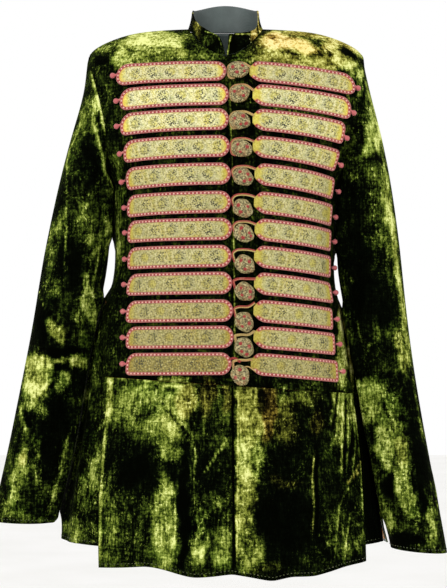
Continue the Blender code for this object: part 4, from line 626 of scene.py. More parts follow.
def make_brocade():
    """Woven brocade of gilt and silver thread on yellow silk, with a round rosette of dark specks
    every 30 mm. Both ends are plain yellow satin, and the field turns orange under the border."""
    material, add = new_finish("gilt silk brocade")
    cloth = add("UVMap", uv_map="cloth")
    rim, tip, wear = (add("Attribute", attribute_name=label, out="Fac")
                      for label in ("rim", "tip", "wear"))
    along, up = add("SeparateXYZ", cloth).node.outputs[:2]
    # rosettes: place within a 30 mm repeat, in millimetres
    repeat = add("FRACT", add("DIVIDE", along, 0.030))
    across = add("MULTIPLY", add("SUBTRACT", repeat, 0.5), 30.0)
    radius = add("VectorMath", add("CombineXYZ", across, add("MULTIPLY", up, 1000.0)),
                 operation="LENGTH")
    # each knot of metal thread is 1.6 mm wide, in its own tone
    knots = add("TexVoronoi", cloth, 560.0, voronoi_dimensions="2D")
    specks = add("TexVoronoi", cloth, 370.0, voronoi_dimensions="2D")
    tone = add("SeparateColor", knots.node.outputs["Color"])
    chance = add("SeparateColor", specks.node.outputs["Color"], out=1)
    shade = add("ValToRGB", tone, stops=((0.0, "#8f8950"), (0.25, "#bdb570"), (0.5, "#d6cf84"),
                                         (0.75, "#e4de9a"), (1.0, "#f1edbc")))
    # broad greyer and yellower places
    drift = add("TexNoise", cloth, 30.0, 3.0, 0.6)
    shade = add("Mix", add("MapRange", drift, 0.45, 0.66, 0.0, 0.50), shade, "#b3b388")
    shade = add("Mix", add("MapRange", drift, 0.50, 0.34, 0.0, 0.50), shade, "#d4c143")
    # green silk shows in small places between the gilt
    green = add("TexNoise", cloth, 170.0, 3.0, 0.7)
    shade = add("Mix", add("MapRange", green, 0.54, 0.66, 0.0, 0.60), shade, "#8f9a4c")
    dots = add("MapRange", specks, 0.46, 0.38)
    # the rosettes are worn unevenly, and their rims are ragged
    ragged = add("MULTIPLY_ADD", green, 8.0, add("SUBTRACT", radius, 4.0))
    inside = add("MapRange", ragged, 10.6, 8.4)
    kept = add("MapRange", add("TexNoise", cloth, 26.0, 2.0), 0.40, 0.56)
    # a worn rosette shows the yellow silk at its heart
    heart = add("MULTIPLY", add("MapRange", ragged, 8.0, 5.0), add("SUBTRACT", 1.0, kept))
    shade = add("Mix", add("MULTIPLY", heart, 0.60), shade, "#d8cc3c")
    kept = add("MULTIPLY_ADD", kept, 0.65, 0.35)
    halo = add("MULTIPLY", add("MapRange", radius, 13.0, 11.0), add("SUBTRACT", 1.0, inside))
    shade = add("Mix", add("MULTIPLY", halo, 0.35), shade, "#f0ebc0")
    petals = add("MULTIPLY", add("MULTIPLY", inside, dots), add("MapRange", chance, 0.30, 0.36))
    # sparse dark specks between the rosettes, as vines
    vine = add("MULTIPLY", dots, add("MapRange", chance, 0.76, 0.82))
    dark = add("MAXIMUM", add("MULTIPLY", petals, 0.98), add("MULTIPLY", vine, 0.85))
    dark = add("MULTIPLY", dark, kept)
    shade = add("Mix", dark, shade, "#2f2f19")
    satin = add("ValToRGB", tone, stops=((0.0, "#cdbb35"), (1.0, "#e9e06a")))
    bare = add("MULTIPLY_ADD", green, 0.014, add("SUBTRACT", tip, 0.007))
    shade = add("Mix", add("MapRange", bare, 0.0185, 0.0085), shade, satin)
    # orange along the border, strongest at the ends
    glow = add("MULTIPLY", add("MapRange", rim, 0.0090, 0.0050),
               add("MapRange", tip, 0.030, 0.012, 0.15, 0.60))
    shade = add("Mix", glow, shade, "#dd8f35")
    shade = add("Mix", wear, shade, "#a69a62", blend_type="MULTIPLY")
    # much handled bars show broken threads, dark and pale
    broken = add("TexNoise", cloth, 330.0, 3.0, 0.7)
    for low, high, most, thread in ((0.50, 0.62, 0.60, "#45401c"), (0.46, 0.36, 0.55, "#d9cf8c")):
        worn = add("MULTIPLY", add("MapRange", broken, low, high, 0.0, most), wear)
        shade = add("Mix", worn, shade, thread)
    # the border's ground is faded red, pinker in places
    ground = add("Mix", add("MapRange", drift, 0.46, 0.60, 0.0, 0.8), "#b95a4e", "#a2423a")
    border = add("MapRange", rim, BORDER_WIDTH + 0.3 * MM, BORDER_WIDTH - 0.4 * MM)
    shade = add("Mix", border, shade, ground)
    return cover(material, shade, (0.6, 0.5 * MM, add("SUBTRACT", knots, dark)),
                 {"Roughness": 0.5, "Metallic": 0.15})


def make_thread(name, colours):
    """Twisted silk or gilt thread: fine slanting plies. The thread attribute picks the colour:
    0 is the first and 1 the last."""
    material, add = new_finish(name)
    place = add("TexCoord", out="Object")
    pick = add("Attribute", attribute_name="thread", out="Fac")
    shade = add("ValToRGB", pick, stops=[(i / (len(colours) - 1.0), code)
                                         for i, code in enumerate(colours)])
    along = add("Attribute", attribute_name="along", out="Fac")
    ring = add("Attribute", attribute_name="ring", out="Vector")
    x, y = add("SeparateXYZ", ring).node.outputs[:2]
    # plies lie 1.6 mm apart along the cord
    turn = add("MULTIPLY", add("ARCTAN2", y, x), 2.0)
    plies = add("SINE", add("MULTIPLY_ADD", along, 6.28 / (3.2 * MM), turn))
    shadow = add("MapRange", plies, -1.0, -0.1, 0.35, 0.0)
    shade = add("Mix", shadow, shade, "#5a2a1c", blend_type="MULTIPLY")
    fade = add("TexNoise", place, 90.0, 4.0, 0.65)
    shade = add("Mix", add("MapRange", fade, 0.54, 0.72, 0.0, 0.30), shade, "#e2c3a0")
    return cover(material, shade, (0.5, 0.4 * MM, plies), {"Roughness": 0.58, "Sheen Weight": 0.2})


def make_button_cloth():
    """Button covered with gilt net over tan and olive silk: crossing threads about 3 mm apart."""
    material, add = new_finish("netted gilt silk")
    place = add("TexCoord", out="Object")
    x, y = add("SeparateXYZ", add("UVMap", uv_map="cloth")).node.outputs[:2]
    nets = []
    for sign in (1.0, -1.0):
        line = add("MULTIPLY", add("MULTIPLY_ADD", y, sign, x), 6.28 / (3.1 * MM))
        nets.append(add("MapRange", add("SINE", line), 0.1, 0.8))
    flecks = add("TexVoronoi", place, 560.0, out="Color")
    tone = add("MULTIPLY_ADD", add("MAXIMUM", *nets), 0.34,
               add("MULTIPLY", add("SeparateColor", flecks), 0.66))
    shade = add("ValToRGB", tone, stops=((0.12, "#15120a"), (0.30, "#453c20"), (0.50, "#837649"),
                                         (0.72, "#ab9c67"), (1.0, "#dbd09a")))
    blush = add("MapRange", add("TexNoise", place, 110.0, 2.0), 0.52, 0.66, 0.0, 0.35)
    shade = add("Mix", blush, shade, "#a8663a")
    return cover(material, shade, (0.8, 0.8 * MM, tone), {"Roughness": 0.6, "Metallic": 0.1})


# Panels of cloth

def numbers(mesh_items, name, width=3):
    flat = np.empty(len(mesh_items) * width)
    mesh_items.foreach_get(name, flat)
    return flat.reshape(-1, width) if width > 1 else flat


def set_points(piece, points):
    piece.data.vertices.foreach_set("co", points.astype(np.float32).ravel())
    piece.data.update()


def store(mesh, name, values, kind="FLOAT"):
    layer = mesh.attributes.new(name, kind, "POINT")
    field = "vector" if kind == "FLOAT_VECTOR" else "value"
    layer.data.foreach_set(field, np.asarray(values, dtype=np.float32).ravel())


def new_object(name, data):
    thing = bpy.data.objects.new(name, data)
    bpy.context.scene.collection.objects.link(thing)
    return thing


def new_piece(name, mesh, *materials):
    piece = new_object(name, mesh)
    mesh.name = name
    for material in materials:
        mesh.materials.append(material)
    return piece


def settle(piece, slot, *nodes):
    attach(piece, "root")
    if nodes:
        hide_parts(*nodes)
    return piece


def solid_copy(node):
    """Copy of a node's mesh with its doubles merged and its squares whole again."""
    bm = bmesh.new()
    bm.from_mesh(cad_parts[node].data)
    bmesh.ops.remove_doubles(bm, verts=bm.verts, dist=0.01 * MM)
    longest = {face: max(face.edges, key=lambda edge: edge.calc_length()) for face in bm.faces}
    diagonals = [edge for edge in bm.edges if len(edge.link_faces) == 2 and
                 all(longest[face] is edge for face in edge.link_faces)]
    bmesh.ops.dissolve_edges(bm, edges=diagonals, use_verts=False)
    return bm


def baked_mesh(piece, name):
    """Plain mesh of a piece with its modifiers applied."""
    graph = bpy.context.evaluated_depsgraph_get()
    mesh = bpy.data.meshes.new_from_object(piece.evaluated_get(graph))
    mesh.name = name
    return mesh


def smooth_shell(node, levels, name, *materials):
    """The node's wall as a smooth closed shell with square-cut rims."""
    bm = solid_copy(node)
    crease = bm.edges.layers.float.new("crease_edge")
    for edge in bm.edges:
        if len(edge.link_faces) == 2 and edge.calc_face_angle() > math.radians(SHARP_TURN):
            edge[crease] = 1.0
    mesh = bpy.data.meshes.new(name)
    bm.to_mesh(mesh)
    bm.free()
    piece = new_piece(name, mesh, *materials)
    smooth = piece.modifiers.new("smooth", "SUBSURF")
    smooth.levels = smooth.render_levels = levels
    smooth.use_limit_surface = False
    piece.data = baked_mesh(piece, name)
    piece.modifiers.clear()
    piece.data.shade_smooth()
    return piece


def node_points(*nodes):
    return np.concatenate([numbers(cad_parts[node].data.vertices, "co") for node in nodes])


def slices(points):
    """Heights, middle and half size of a tube in level slices."""
    levels = np.arange(points[:, 2].min(), points[:, 2].max() + SLICE, SLICE)
    rows = []
    for level in levels:
        near = points[np.abs(points[:, 2] - level) < 1.5 * SLICE]
        if len(near) >= 4:
            low, high = near.min(axis=0), near.max(axis=0)
            rows.append((level, *(low + high)[:2] / 2.0, *(high - low)[:2] / 2.0))
    return np.array(rows).T


def outward(node, points):
    """Direction away from the hollow at each point, level but near the shoulders."""
    on_body = node in BODY_NODES
    table = slices(node_points(*(BODY_NODES if on_body else (node,))))
    middle_x, middle_y, half_x, half_y = (np.interp(points[:, 2], table[0], row)
                                          for row in table[1:])
    if node.startswith("sleeve"):
        half_y = half_x = 1.0
    way = np.stack([(points[:, 0] - middle_x) / half_x ** 2,
                    (points[:, 1] - middle_y) / half_y ** 2, np.zeros(len(points))], axis=1)
    way /= np.maximum(np.linalg.norm(way, axis=1, keepdims=True), 1e-9)
    if on_body:
        way[:, 2] = np.clip((points[:, 2] + 0.085) / 0.05, 0.0, 1.0) * 2.0
        way /= np.linalg.norm(way, axis=1, keepdims=True)
    return way


def soft_step(values, low, high):
    t = np.clip((values - low) / (high - low), 0.0, 1.0)
    return t * t * (3.0 - 2.0 * t)


def line_distance(spots, line):
    """Distance from each spot to a bent line, and how far along it the nearest point lies."""
    best = np.full(len(spots), 1e9)
    share = np.zeros(len(spots))
    line = np.asarray(line, dtype=float)
    lengths = np.linalg.norm(np.diff(line, axis=0), axis=1)
    total, walked = lengths.sum(), 0.0
    for start, end, length in zip(line, line[1:], lengths):
        t = np.clip(((spots - start) @ (end - start)) / length ** 2, 0.0, 1.0)
        away = np.linalg.norm(spots - (start + t[:, None] * (end - start)), axis=1)
        nearer = away < best
        best[nearer] = away[nearer]
        share[nearer] = (walked + t[nearer] * length) / total
        walked += length
    return best, share


def waver(spots):
    """Spots moved a little to and fro, in millimetres, so that no patch has an even rim."""
    x, z = spots.T
    return spots + np.stack([3.0 * np.sin(z / 19.0 + 1.7 * np.sin(x / 27.0)) +
                             2.5 * np.sin(x / 9.0 + z / 7.0),
                             5.0 * np.sin(x / 17.0 + 1.3 * np.sin(z / 33.0)) +
                             3.0 * np.sin(z / 8.0 - x / 11.0)], axis=1)


def paint_pile_and_light(node, points, way, base):
    """Lightness and gold of the pile at each point, painted sheen and shade along with the pile's
    own crush and wear, and how far creases lift it.
    """
    pile_and_painted_light = np.full(len(points), base)
    gold = np.zeros(len(points))
    lift = np.zeros(len(points))
    depth = 1.0 + points[:, 1] / CAMERA_DISTANCE
    front = np.stack([points[:, 0] / depth,
                      (points[:, 2] - CAMERA_HEIGHT) / depth + CAMERA_HEIGHT], axis=1) / MM
    rear = points[:, (0, 2)] / MM
    faces_front = soft_step(-way[:, 1], -0.35, 0.05)
    faces_back = soft_step(way[:, 1], -0.25, 0.15)
    if node.startswith("sleeve"):
        # a sleeve is flat enough for the two sides to need a broad seamless change
        table = slices(node_points(node))
        back = ((points[:, 1] - np.interp(points[:, 2], table[0], table[2])) /
                np.interp(points[:, 2], table[0], table[4]))
        faces_front, faces_back = soft_step(-back, -0.60, 0.10), soft_step(back, -0.20, 0.50)
    sides = ((PATCHES, LINES, front, faces_front), (BACK_PATCHES, BACK_LINES, rear, faces_back))
    for patches, lines, spots, seen in sides:
        bent = waver(spots)
        for x, z, half_width, half_height, tilt, lighter, golden in patches.get(node, ()):
            turn = math.radians(tilt)
            moved = bent - (x, z)
            across = (moved[:, 0] * math.cos(turn) + moved[:, 1] * math.sin(turn)) / half_width
            up = (moved[:, 1] * math.cos(turn) - moved[:, 0] * math.sin(turn)) / half_height
            weight = soft_step(np.hypot(across, up), 1.30, 0.70) * seen
            pile_and_painted_light += lighter * weight
            gold = np.maximum(gold, golden * weight)
        for half_width, height, lighter, golden, line in lines.get(node, ()):
            away, share = line_distance(spots, line)
            taper = np.sqrt(np.clip(np.minimum(share, 1.0 - share) * 8.0, 0.12, 1.0))
            weight = np.exp(-(away / (half_width * 0.8)) ** 2) * seen * taper
            pile_and_painted_light += lighter * weight
            gold = np.maximum(gold, golden * weight)
            lift += height * MM * np.exp(-(away / (half_width * 1.1)) ** 2) * seen * taper
    # lightness past the knee, painted sheen included, grows less
    again = LIGHTNESS_KNEE + LIGHTNESS_PAST_KNEE * (pile_and_painted_light - LIGHTNESS_KNEE)
    return np.where(pile_and_painted_light > LIGHTNESS_KNEE, again, pile_and_painted_light), gold, lift


def catch_tree(*nodes):
    """Search tree over nodes' faces, to find where a line meets them."""
    points, faces = [], []
    for node in nodes:
        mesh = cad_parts[node].data
        start = len(points)
        points += [vertex.co.copy() for vertex in mesh.vertices]
        faces += [[start + i for i in face.vertices] for face in mesh.polygons]
    return BVHTree.FromPolygons(points, faces)


class SideGap:
    """The gap between a sleeve and the body's side. It closes, as the front shows it, where the
    body's side is drawn out behind the sleeve and the sleeve is drawn in before the body."""

    def __init__(self, side):
        self.sign = -1.0 if side == "right" else 1.0
        self.trees = {"body": catch_tree(*BODY_NODES), "sleeve": catch_tree("sleeve_" + side)}
        table = [dict(zip(TOUCH_COLUMNS, row)) for row in TOUCH]
        self.touch = ([row["height"] for row in table], [row[side] for row in table])
        rows = []
        for z in np.arange(TOUCH[0][0], TOUCH[-1][0], 15.0 * MM):
            widths = []
            for y in np.arange(-70.0, 70.0, 5.0) * MM:
                inner, outer = self.surface("body", y, z), self.surface("sleeve", y, z)
                if inner is not None and outer is not None:
                    widths.append((outer - inner, (outer + inner) / 2.0, y))
            if widths:
                rows.append((z, *min(widths)[1:]))
        self.levels, self.middles, self.spots = np.array(rows).T

    def surface(self, part, y, z):
        """How far out the body's side, or the sleeve's side that faces it, lies."""
        start, way = (0.6, -1.0) if part == "body" else (0.0, 1.0)
        place = self.trees[part].ray_cast(Vector((self.sign * start, y, z)),
                                          Vector((self.sign * way, 0.0, 0.0)))[0]
        return None if place is None else place.x * self.sign

    def draw(self, part, points):
        """Points of the body or the sleeve, moved out or in to the slanting plane."""
        way = 1.0 if part == "body" else -1.0
        reach, y, z = points[:, 0] * self.sign, points[:, 1], points[:, 2]
        middle = np.interp(z, self.levels, self.middles)
        beyond = way * (y - np.interp(z, self.levels, self.spots))
        share = (np.interp(z, *self.touch) * soft_step(beyond, -12.0 * MM, 14.0 * MM) *
                 soft_step(beyond, 90.0 * MM, 50.0 * MM))
        plane = middle + TOUCH_SLANT * way * beyond - way * TOUCH_CLEARANCE
        moved = points.copy()
        for i in np.flatnonzero((share > 0.01) & (np.abs(reach - middle) < 60.0 * MM)):
            surface = self.surface(part, y[i], z[i])
            if surface is not None:
                away = way * (plane[i] - surface)
                depth = way * (surface - reach[i])
                if away > 0.0:
                    moved[i, 0] += (self.sign * way * share[i] * away *
                                    soft_step(away, 22.0 * MM, 9.0 * MM) *
                                    soft_step(depth, 25.0 * MM, 6.0 * MM))
        return moved


def make_panels(velvet, lining, neck_lining):
    gaps = {side: SideGap(side) for side in ("right", "left")}
    for node, levels, base in PANELS:
        inside = lining if "skirt" in node or "gore" in node else neck_lining
        piece = smooth_shell(node, levels, "velvet_" + node, velvet, inside)
        points = numbers(piece.data.vertices, "co")
        way = outward(node, points)
        pile_and_painted_light, gold, lift = paint_pile_and_light(node, points, way, base)
        moved = points + way * lift[:, None]
        for side, gap in gaps.items():
            if node in BODY_NODES or node == "sleeve_" + side:
                moved = gap.draw("body" if node in BODY_NODES else "sleeve", moved)
        set_points(piece, moved)
        store(piece.data, "pile_and_painted_light", pile_and_painted_light)
        store(piece.data, "gold", gold)
        squares = piece.data.polygons
        facing = numbers(squares, "normal") * outward(node, numbers(squares, "center"))
        inner = facing.sum(axis=1) < LINED_FACING
        squares.foreach_set("material_index", inner.astype(np.int32))
        dark = node == "back" or node.startswith("gore")
        settle(piece, "velvet_dark" if dark else "velvet", node)


# Lines and stitches, grown by geometry nodes

def new_tree(name, **sizes):
    """Empty geometry tree with named inputs: the tree, what adds its nodes, what it is given and
    its path's curve."""
    tree = bpy.data.node_groups.new(name, "GeometryNodeTree")
    for label, kind in {"Path": "Geometry", **sizes, "Material": "Material"}.items():
        tree.interface.new_socket(label, in_out="INPUT", socket_type="NodeSocket" + kind)
    tree.interface.new_socket("Geometry", in_out="OUTPUT", socket_type="NodeSocketGeometry")
    add = functools.partial(add_node, tree)
    given = add("NodeGroupInput").node.outputs
    return tree, add, given, add("MeshToCurve", given["Path"])


def finish_tree(tree, add, given, geometry):
    real = add("RealizeInstances", add("SetShadeSmooth", geometry))
    add("NodeGroupOutput", add("SetMaterial", real, Material=given["Material"]))
    return tree


def cord_tree():
    """A round cord along each path."""
    tree, add, given, curve = new_tree("cord along a path", Radius="Float", Sides="Int",
                                       Step="Float")
    even = add("ResampleCurve", curve, mode="LENGTH", Length=given["Step"])
    marked = add("StoreNamedAttribute", even, domain="POINT", Name="along",
                 Value=add("SplineParameter", out="Length"))
    circle = add("CurvePrimitiveCircle", given["Sides"], given["Radius"])
    ring = add("StoreNamedAttribute", circle, domain="POINT", data_type="FLOAT_VECTOR",
               Name="ring", Value=add("InputPosition"))
    return finish_tree(tree, add, given, add("CurveToMesh", marked, ring, Fill_Caps=True))


def stitch_tree():
    """Rounded stitches laid along each path, flat on the cloth, counted in turns."""
    tree, add, given, curve = new_tree("stitches along a path", Spacing="Float", Size="Vector",
                                       Turns="Int")
    even = add("ResampleCurve", curve, mode="LENGTH", Length=given["Spacing"])
    up = add("InputNamedAttribute", "up", data_type="FLOAT_VECTOR", out="Attribute")
    turn = add("FunctionNodeAxesToRotation", add("InputTangent"), up, primary_axis="X",
               secondary_axis="Z")
    laid = add("InstanceOnPoints", even, Instance=add("MeshUVSphere", 6, 4, 0.5), Rotation=turn,
               Scale=given["Size"])
    marked = add("StoreNamedAttribute", laid, domain="INSTANCE", Name="thread",
                 Value=add("FLOORED_MODULO", add("InputIndex"), given["Turns"]))
    return finish_tree(tree, add, given, marked)


def path_mesh(name, paths):
    """Mesh of bare edges from (points, upward directions, closed, thread) paths."""
    points, ups, edges, threads = [], [], [], []
    for line, up, closed, thread in paths:
        start = len(points)
        points += [tuple(point) for point in line]
        ups += [tuple(direction) for direction in up]
        threads += [thread] * len(line)
        edges += [(start + i, start + i + 1) for i in range(len(line) - 1)]
        if closed:
            edges.append((len(points) - 1, start))
    mesh = bpy.data.meshes.new(name)
    mesh.from_pydata(points, edges, [])
    store(mesh, "up", ups, "FLOAT_VECTOR")
    store(mesh, "thread", threads)
    return mesh


def grow(name, paths, tree, **sizes):
    """Plain mesh that a tree makes from paths."""
    piece = new_piece(name, path_mesh(name, paths))
    modifier = piece.modifiers.new("grow", "NODES")
    modifier.node_group = tree
    for item in tree.interface.items_tree:
        if item.in_out == "INPUT" and item.name in sizes:
            modifier[item.identifier] = sizes[item.name]
    mesh = baked_mesh(piece, name)
    bpy.data.objects.remove(piece)
    return mesh


def join_meshes(name, meshes):
    """One piece from several meshes, with their own materials and attributes."""
    things = [new_piece(name + "_part", mesh) for mesh in meshes]
    with bpy.context.temp_override(active_object=things[0], selected_editable_objects=things):
        bpy.ops.object.join()
    things[0].name = name
    things[0].data.name = name
    return things[0]


# Bars

def meet(tree, x, z):
    """Where a level line from the front meets the faces, and their normal there."""
    return tree.ray_cast(Vector((x, -1.0, z)), Vector((0.0, 1.0, 0.0)))[:2]


class BarFace:
    """Outer face of a bar, laid flat: places along it and up it, and heights off it."""

    def __init__(self, side, row):
        sign = -1.0 if side == "right" else 1.0
        start, end = row[side + "_start"], sign * row[side + "_end"]
        slope = RIGHT_SLOPE if side == "right" else row["left_slope"]
        xs = np.linspace(start + sign * 0.3 * MM, end, FACE_STEPS)
        share = np.abs((xs - start) / (end - start))
        zs = row["height"] - slope * share ** BAR_DROOP
        tree = catch_tree("bar_{}_{:02d}".format(side, row["number"]))
        ys, tilts = np.full(len(xs), np.nan), np.full(len(xs), np.nan)
        for i, (x, z) in enumerate(zip(xs, zs)):
            if abs(x - end) > FACE_MARGIN:
                place, high, low = (meet(tree, x, z + rise * FACE_REACH)[0] for rise in (0, 1, -1))
                ys[i] = place.y if place else np.nan
                if high and low:
                    tilts[i] = (high.y - low.y) / (2.0 * FACE_REACH)
        count = np.arange(len(xs))
        known = ~np.isnan(ys)
        last = count[known][-1]
        ys = np.interp(count, count[known], ys[known])
        ys[last:] = ys[last] + (count[last:] - last) * (ys[last] - ys[last - 3]) / 3.0
        known = ~np.isnan(tilts)
        tilts = np.interp(count, count[known], tilts[known])
        for _ in range(3):
            ys[1:-1] = (ys[:-2] + 2.0 * ys[1:-1] + ys[2:]) / 4.0
            tilts[1:-1] = (tilts[:-2] + 2.0 * tilts[1:-1] + tilts[2:]) / 4.0
        droop = END_DROOP[min(row["number"], len(END_DROOP)) - 1] * share ** 2.4
        ys, zs = ys - tilts * droop, zs - droop
        self.points = np.stack([xs, ys, zs], axis=1)
        along = np.gradient(self.points, axis=0)
        along /= np.linalg.norm(along, axis=1, keepdims=True)
        up = np.stack([np.zeros(len(xs)), tilts, np.ones(len(xs))], axis=1)
        self.out = np.cross(along, up)
        self.out /= np.linalg.norm(self.out, axis=1, keepdims=True)
        self.out *= np.where(self.out[:, 1:2] > 0.0, -1.0, 1.0)
        self.up = np.cross(self.out, along)
        self.up *= np.where(self.up[:, 2:3] < 0.0, -1.0, 1.0)
        steps = np.linalg.norm(np.diff(self.points, axis=0), axis=1)
        self.walked = np.concatenate([[0.0], np.cumsum(steps)])
        self.length = self.walked[-1]

    def place(self, along, up, height):
        """Points, and the face's outward directions there."""
        point, rise, out = (np.stack([np.interp(along, self.walked, table[:, k])
                                      for k in range(3)], axis=-1)
                            for table in (self.points, self.up, self.out))
        return point + rise * up[..., None] + out * np.asarray(height)[..., None], out


def half_height(along, length, inset, end, back, depth):
    """How far a bar reaches up or down at a distance from its inner end. inset lies inside its
    edge. end is how blunt the inner end is and the run to full height. The outer corner is cut
    back and in by an oval."""
    full = BAR_HEIGHT / 2.0 - inset
    blunt, run = end
    near = np.clip(1.0 - (along - inset) / (run - 0.5 * inset), 0.0, 1.0)
    if blunt:
        rising = blunt + (1.0 - blunt) * np.sin(0.5 * np.pi * (1.0 - near)) ** 0.8
    else:
        rising = (1.0 - near ** 2.2) ** 0.55
    back, depth = max(back - inset, 0.8 * MM), max(depth - inset, 0.8 * MM)
    far = np.clip(1.0 - (length - inset - along) / back, 0.0, 1.0)
    return np.minimum(full * rising, full - depth * (1.0 - np.sqrt(1.0 - far ** 2)))


def bar_edges(along, face, side, corners, inset):
    """Upper and lower half heights of a bar."""
    blunt, upper_run, lower_run = INNER_ENDS[side]
    return (half_height(along, face.length, inset, (blunt, upper_run), *corners[:2]),
            half_height(along, face.length, inset, (blunt, lower_run), *corners[2:]))


def crowded(count, share):
    """Steps from 0 to 1 that lie closer towards both ends, by a share."""
    t = np.linspace(0.0, 1.0, count)
    return t - share * np.sin(2.0 * np.pi * t) / (2.0 * np.pi)


def outline(face, side, corners, inset, start=0.0, count=56):
    """Line round a bar, inset from its edge, from a distance to its inner end: places along and
    up the bar."""
    low = max(inset, start)
    along = low + (face.length - inset - low) * crowded(count, 0.95)
    upper, lower = bar_edges(along, face, side, corners, inset)
    return (np.concatenate([along, along[::-1][:-1 if not start else None]]),
            np.concatenate([upper, -lower[::-1][:-1 if not start else None]]))


def closed_mesh(name, points, faces, material, uv=None, extras=(), merge=0.0):
    """Smooth mesh with its faces turned outwards, a place on the cloth and attributes for each
    point, and points that lie within merge joined."""
    mesh = bpy.data.meshes.new(name)
    mesh.from_pydata([tuple(point) for point in points], [], faces)
    for label, values in extras:
        store(mesh, label, values)
    if uv is not None:
        corners = numbers(mesh.loops, "vertex_index", 1).astype(int)
        mesh.uv_layers.new(name="cloth").data.foreach_set(
            "uv", np.asarray(uv, dtype=np.float32)[corners].ravel())
    bm = bmesh.new()
    bm.from_mesh(mesh)
    if merge:
        bmesh.ops.remove_doubles(bm, verts=bm.verts, dist=merge)
    bmesh.ops.recalc_face_normals(bm, faces=bm.faces)
    bm.to_mesh(mesh)
    bm.free()
    mesh.materials.append(material)
    mesh.shade_smooth()
    return mesh


def grid_faces(index):
    """Squares between the rows of a grid of point numbers."""
    return [tuple(int(n) for n in square) for square in np.stack(
        [index[:-1, :-1], index[:-1, 1:], index[1:, 1:], index[1:, :-1]], axis=-1).reshape(-1, 4)]


def ring_faces(rings, around):
    """Squares between closed rings of points."""
    index = np.arange(rings * around).reshape(rings, around)
    return grid_faces(np.concatenate([index, index[:, :1]], axis=1))


def make_field(name, face, side, corners, wear, shift, material):
    """The bar's cloth: slightly crowned, with a rounded edge, two millimetres thick."""
    along = FIELD_ENDS + (face.length - 2.0 * FIELD_ENDS) * crowded(FIELD_COLUMNS, 0.85)
    upper, lower = bar_edges(along, face, side, corners, FIELD_INSET)
    share = crowded(FIELD_ROWS, 0.6)
    ups = -lower[:, None] + share[None, :] * (upper + lower)[:, None]
    alongs = np.repeat(along[:, None], FIELD_ROWS, axis=1)
    crown = FIELD_CROWN * (1.0 - np.abs(2.0 * share - 1.0) ** 3) - FIELD_EDGE
    heights = np.repeat(crown[None, :], len(along), axis=0)
    top = face.place(alongs, ups, heights)[0]
    bottom = face.place(alongs, ups, np.full_like(heights, -BAR_THICKNESS))[0]
    edge = np.stack(outline(face, side, corners, 0.0, OPEN_BORDER if side == "left" else 0.0, 90),
                    axis=1)
    flat = np.stack([alongs.ravel(), ups.ravel()], axis=1)
    rim = np.linalg.norm(flat[:, None, :] - edge[None, :, :], axis=2).min(axis=1)
    tip = np.minimum(alongs, face.length - alongs)
    uv = np.stack([alongs + shift, ups], axis=-1)
    # the top, the underside and the edge between them
    index = np.arange(alongs.size).reshape(alongs.shape)
    ring = np.concatenate([index[0], index[1:, -1], index[-1, -2::-1], index[-2:0:-1, 0]])
    ring = np.stack([np.append(ring, ring[0]), np.append(ring, ring[0]) + index.size])
    faces = grid_faces(index) + grid_faces(index.T + index.size) + grid_faces(ring)
    extras = (("rim", rim), ("tip", tip.ravel()), ("wear", np.full(index.size, wear)))
    return closed_mesh(name, np.concatenate([top.reshape(-1, 3), bottom.reshape(-1, 3)]), faces,
                       material, np.concatenate([uv.reshape(-1, 2)] * 2),
                       [(label, np.concatenate([values] * 2)) for label, values in extras])


def wound_ball(centre, axis, radius, lobes=9):
    """Points and faces of a ball of wound silk with a short stem along axis."""
    axis = axis.normalized()
    side = axis.orthogonal().normalized()
    other = axis.cross(side)
    profile = [(-1.85, 0.42), (-1.35, 0.36), (-1.05, 0.40)]
    profile += [(-math.cos(math.radians(a)), math.sin(math.radians(a)))
                for a in (28.0, 48.0, 68.0, 90.0, 112.0, 134.0, 156.0)]
    around = lobes * 2
    points = []
    for height, width in profile:
        for k in range(around):
            turn = 2.0 * math.pi * k / around
            size = width * (1.0 - (0.10 if k % 2 and width > 0.5 else 0.0))
            points.append(centre + radius * (axis * height + size *
                                             (side * math.cos(turn) + other * math.sin(turn))))
    faces = ring_faces(len(profile), around)
    faces.append(tuple(range(around))[::-1])
    last = (len(profile) - 1) * around
    points.append(centre + radius * axis)
    faces += [(last + k, last + (k + 1) % around, len(points) - 1) for k in range(around)]
    return points, faces


def make_bobble(name, side, number, material):
    """Wound bobble at a bar's outer end, where its node has one."""
    points = node_points("bar_{}_{:02d}".format(side, number))
    sign = -1.0 if side == "right" else 1.0
    reach = (points[:, 0] * sign).max()
    ball = points[points[:, 0] * sign > reach - 1.4 * BOBBLE_RADIUS]
    inner = points[(points[:, 0] * sign < reach - 3.0 * BOBBLE_RADIUS) &
                   (points[:, 0] * sign > reach - 5.0 * BOBBLE_RADIUS)]
    centre = (ball.min(axis=0) + ball.max(axis=0)) / 2.0
    tuck = BOBBLE_TUCK[side][min(number, len(BOBBLE_TUCK[side])) - 1]
    centre[0] = sign * (reach - BOBBLE_RADIUS - tuck)
    centre[2] -= 1.3 * END_DROOP[min(number, len(END_DROOP)) - 1]
    if side == "left":
        centre[2] -= 0.6 * tuck
    axis = Vector(centre - (inner.min(axis=0) + inner.max(axis=0)) / 2.0)
    axis.z *= 0.5
    points, faces = wound_ball(Vector(centre), axis, BOBBLE_RADIUS)
    return closed_mesh(name, points, faces, material)


